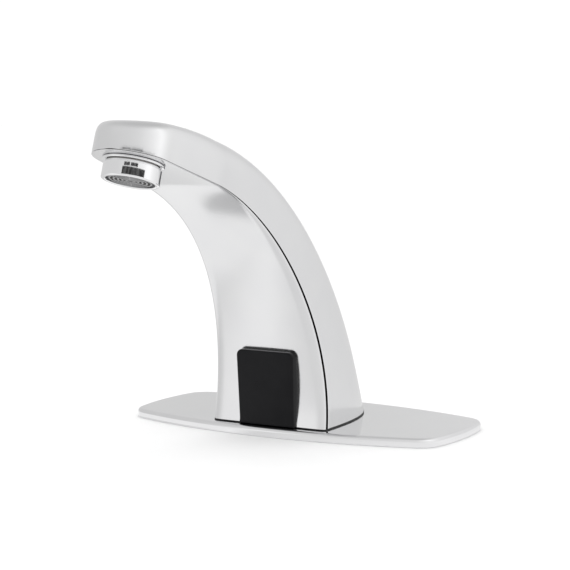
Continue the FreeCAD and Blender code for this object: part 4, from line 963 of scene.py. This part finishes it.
# degrees from the tap's front, positive towards +X, with the wall's brightness there
LOW_WALL = [(-180, 0.82), (-150, 0.72), (-110, 0.72), (-52, 0.74), (-41, 0.84), (-31, 1.04),
            (-24, 1.08), (-8, 0.84), (30, 0.90), (82, 1.08), (130, 0.92), (160, 0.86), (180, 0.82)]
HIGH_WALL = [(-180, 0.80), (-150, 0.76), (-90, 0.74), (-15, 0.76), (25, 0.90), (55, 1.08),
             (80, 1.28), (105, 1.06), (150, 0.94), (180, 0.80)]
CEILING = 0.66
LOW_TO_HIGH, HIGH_TO_CEILING = (0.07, 0.19), (0.34, 0.55)


def compass_ramp(tree, turn, stops):
    """Brightness by direction; the ramp's 0..1 runs once round from -180 to 180 degrees."""
    return ramp(tree, turn, [((a + 180) / 360, (v, v, v)) for a, v in stops])


def tent_material():
    material = bpy.data.materials.new("tent_cloth")
    material.use_nodes = True
    tree = material.node_tree
    tree.nodes.remove(tree.nodes["Principled BSDF"])
    glow = tree.nodes.new("ShaderNodeEmission")
    where = tree.nodes.new("ShaderNodeTexCoord")
    turned_round = tree.nodes.new("ShaderNodeMapping")
    turned_round.inputs["Rotation"].default_value = (0, 0, math.radians(90))
    radial = tree.nodes.new("ShaderNodeTexGradient")
    radial.gradient_type = "RADIAL"
    split = tree.nodes.new("ShaderNodeSeparateXYZ")
    tree.links.new(where.outputs["Object"], turned_round.inputs["Vector"])
    tree.links.new(turned_round.outputs["Vector"], radial.inputs["Vector"])
    tree.links.new(where.outputs["Object"], split.inputs["Vector"])
    low = compass_ramp(tree, radial.outputs["Fac"], LOW_WALL)
    high = compass_ramp(tree, radial.outputs["Fac"], HIGH_WALL)
    rise = spread(tree, split.outputs["Z"], 0.0, 1.0, *LOW_TO_HIGH)
    wall = tree.nodes.new("ShaderNodeMix")
    wall.data_type = "RGBA"
    tree.links.new(rise, wall.inputs["Factor"])
    tree.links.new(low, wall.inputs["A"])
    tree.links.new(high, wall.inputs["B"])
    top = tree.nodes.new("ShaderNodeMix")
    top.data_type = "RGBA"
    top.inputs["B"].default_value = (CEILING, CEILING, CEILING, 1)
    overhead = spread(tree, split.outputs["Z"], 0.0, 1.0, *HIGH_TO_CEILING)
    tree.links.new(overhead, top.inputs["Factor"])
    tree.links.new(wall.outputs["Result"], top.inputs["A"])
    tree.links.new(top.outputs["Result"], glow.inputs["Color"])
    tree.links.new(glow.outputs["Emission"], tree.nodes["Material Output"].inputs["Surface"])
    return material


print("tent ramps:", len(LOW_WALL), "and", len(HIGH_WALL), "stops")

# %% [markdown]
# The tent itself is an upright drum with a domed top, wide enough to stand clear of the tap. A
# sphere would do too, but the drum's straight wall gives straight, quiet bands in the metal. Ray
# visibility hides it from the camera and from the soft light on the floor.

# %% Tent drum
TENT_STEPS = 96
# share of the radius and of the height, from the table up
TENT_PROFILE = [(1.0, 0.001), (1.0, 0.6), (0.86, 0.85), (0.5, 1.0)]


def only_in_reflections(thing):
    """Glossy rays still meet the thing, and every other ray passes through it."""
    thing.visible_camera = False
    thing.visible_diffuse = False
    thing.visible_shadow = False
    thing.visible_transmission = False
    thing.visible_volume_scatter = False


verts = []
for radius, height in TENT_PROFILE:
    for k in range(TENT_STEPS):
        a = 2 * math.pi * k / TENT_STEPS
        verts.append((TENT_RADIUS * radius * math.cos(a), TENT_RADIUS * radius * math.sin(a),
                      TENT_HIGH * height))
faces = grid_faces(len(TENT_PROFILE), TENT_STEPS)
faces.append([3 * TENT_STEPS + k for k in range(TENT_STEPS)])
faces.append(list(range(TENT_STEPS)))  # the cloth also covers the table
tent_mesh = bpy.data.meshes.new("light_tent")
tent_mesh.from_pydata(verts, [], faces)
tent_mesh.shade_smooth()
tent = bpy.data.objects.new("light_tent", tent_mesh)
bpy.context.scene.collection.objects.link(tent)
tent_mesh.materials.append(tent_material())
only_in_reflections(tent)
print("tent wall:", TENT_RADIUS, "m from the tap")

# %% [markdown]
# The underside of the arch looks down on the table to the left of the foot, and on the real
# object it is bright. A lamp from below would light everything. A round white sheet there, again
# only for reflections, lifts the arch alone and leaves the sides darker.

# %% White sheet beside the foot
SHEET_RADIUS, SHEET_GLOW = 0.075, 1.05
SHEET_X, SHEET_Y, SHEET_LIFT = -0.085, 0.0, 0.0008
sheet_material = bpy.data.materials.new("sheet_white")
sheet_material.use_nodes = True
tree = sheet_material.node_tree
tree.nodes.remove(tree.nodes["Principled BSDF"])
glow = tree.nodes.new("ShaderNodeEmission")
glow.inputs["Strength"].default_value = SHEET_GLOW
tree.links.new(glow.outputs["Emission"], tree.nodes["Material Output"].inputs["Surface"])
sheet_mesh = bpy.data.meshes.new("white_sheet")
verts = []
for k in range(TENT_STEPS):
    a = 2 * math.pi * k / TENT_STEPS
    verts.append((SHEET_X + SHEET_RADIUS * math.cos(a), SHEET_Y + SHEET_RADIUS * math.sin(a),
                  SHEET_LIFT))
sheet_mesh.from_pydata(verts, [], [list(range(TENT_STEPS))])
sheet_mesh.materials.append(sheet_material)
sheet = bpy.data.objects.new("white_sheet", sheet_mesh)
bpy.context.scene.collection.objects.link(sheet)
only_in_reflections(sheet)
print("sheet radius:", SHEET_RADIUS, "m")

# %% [markdown]
# A polished cylinder looks round only where something dark is mirrored in it, and the collar
# shows two dark patches, one above the other. They could be painted on its surface, but then
# they would turn with it. Black cards that hang close to the outlet stay where they are: two
# small ones with a slit between them, and a long one below.

# %% Black cards
CARD_RADIUS = 55.0


def card_material():
    material, tree, shader = new_material("card_black")
    shader.inputs["Roughness"].default_value = 0.8
    patches = noise(tree, 150.0, 4.0)
    blacks = [(0.40, (0.01, 0.01, 0.01)), (0.60, (0.10, 0.10, 0.10))]
    tree.links.new(ramp(tree, patches.outputs["Fac"], blacks), shader.inputs["Base Color"])
    return material


def card(name, first, last, low, high, material, steps=24):
    """A curved strip about the outlet's axis, from `first` to `last` degrees off the front."""
    points = []
    for k in range(steps + 1):
        a = math.radians(first + (last - first) * k / steps)
        for height in (low, high):
            points.append(tipped(CARD_RADIUS * math.sin(a), -CARD_RADIUS * math.cos(a), height))
    mesh = bpy.data.meshes.new(name)
    mesh.from_pydata([(x * MM, y * MM, z * MM) for x, y, z in points], [],
                     [(2 * k, 2 * k + 1, 2 * k + 3, 2 * k + 2) for k in range(steps)])
    mesh.materials.append(material)
    strip = bpy.data.objects.new(name, mesh)
    bpy.context.scene.collection.objects.link(strip)
    only_in_reflections(strip)


black = card_material()
card("card_upper_left", 4, 24, 4.9, 6.5, black)
card("card_upper_right", 27, 52, 4.9, 6.5, black)
card("card_lower", 0, 80, -0.6, 4.5, black)
print("cards at", CARD_RADIUS, "mm from the outlet's axis")

# %% [markdown]
# One large soft lamp from the upper left adds a faint shadow at the plate. A sun would give a
# hard one, and a small lamp a bright spot on the chrome, so the lamp is almost a metre wide.

# %% Lamp
LAMP_PLACE, LAMP_AIM = Vector((-0.5, -0.9, 1.2)), Vector((0, -0.05, 0.08))
LAMP_SIZE, LAMP_POWER = 0.9, 2.0

light = bpy.data.lights.new("key", "AREA")
light.shape = "RECTANGLE"
light.size, light.size_y = LAMP_SIZE, LAMP_SIZE
light.energy = LAMP_POWER
lamp = bpy.data.objects.new("key", light)
lamp.location = LAMP_PLACE
lamp.rotation_euler = (LAMP_AIM - LAMP_PLACE).to_track_quat("-Z", "Y").to_euler()
bpy.context.scene.collection.objects.link(lamp)
print("lamp:", LAMP_SIZE, "m wide,", LAMP_POWER, "W")

# %% [markdown]
# The camera stands to the right of the tap's front and a little above it. Its direction, distance
# and focal length were fitted to known points of the object, because a guessed lens would bend
# the perspective of the plate. A long lens from about a metre keeps it calm.

# %% Camera
SENSOR_WIDTH, LENS = 36.0, 36.0 * 1900.0 / 570.0
AZIMUTH, PITCH, DISTANCE = math.radians(30.12), math.radians(6.416), 0.9108
TARGET = Vector((-0.011674, 0.0, 0.065738))
away = Vector((math.sin(AZIMUTH) * math.cos(PITCH), -math.cos(AZIMUTH) * math.cos(PITCH),
               math.sin(PITCH)))
lens = bpy.data.cameras.new("camera")
lens.sensor_width = SENSOR_WIDTH
lens.lens = LENS
camera = bpy.data.objects.new("camera", lens)
camera.location = TARGET + away * DISTANCE
camera.rotation_euler = (-away).to_track_quat("-Z", "Y").to_euler()
bpy.context.scene.collection.objects.link(camera)
bpy.context.scene.camera = camera
print("camera at", [round(c, 3) for c in camera.location])
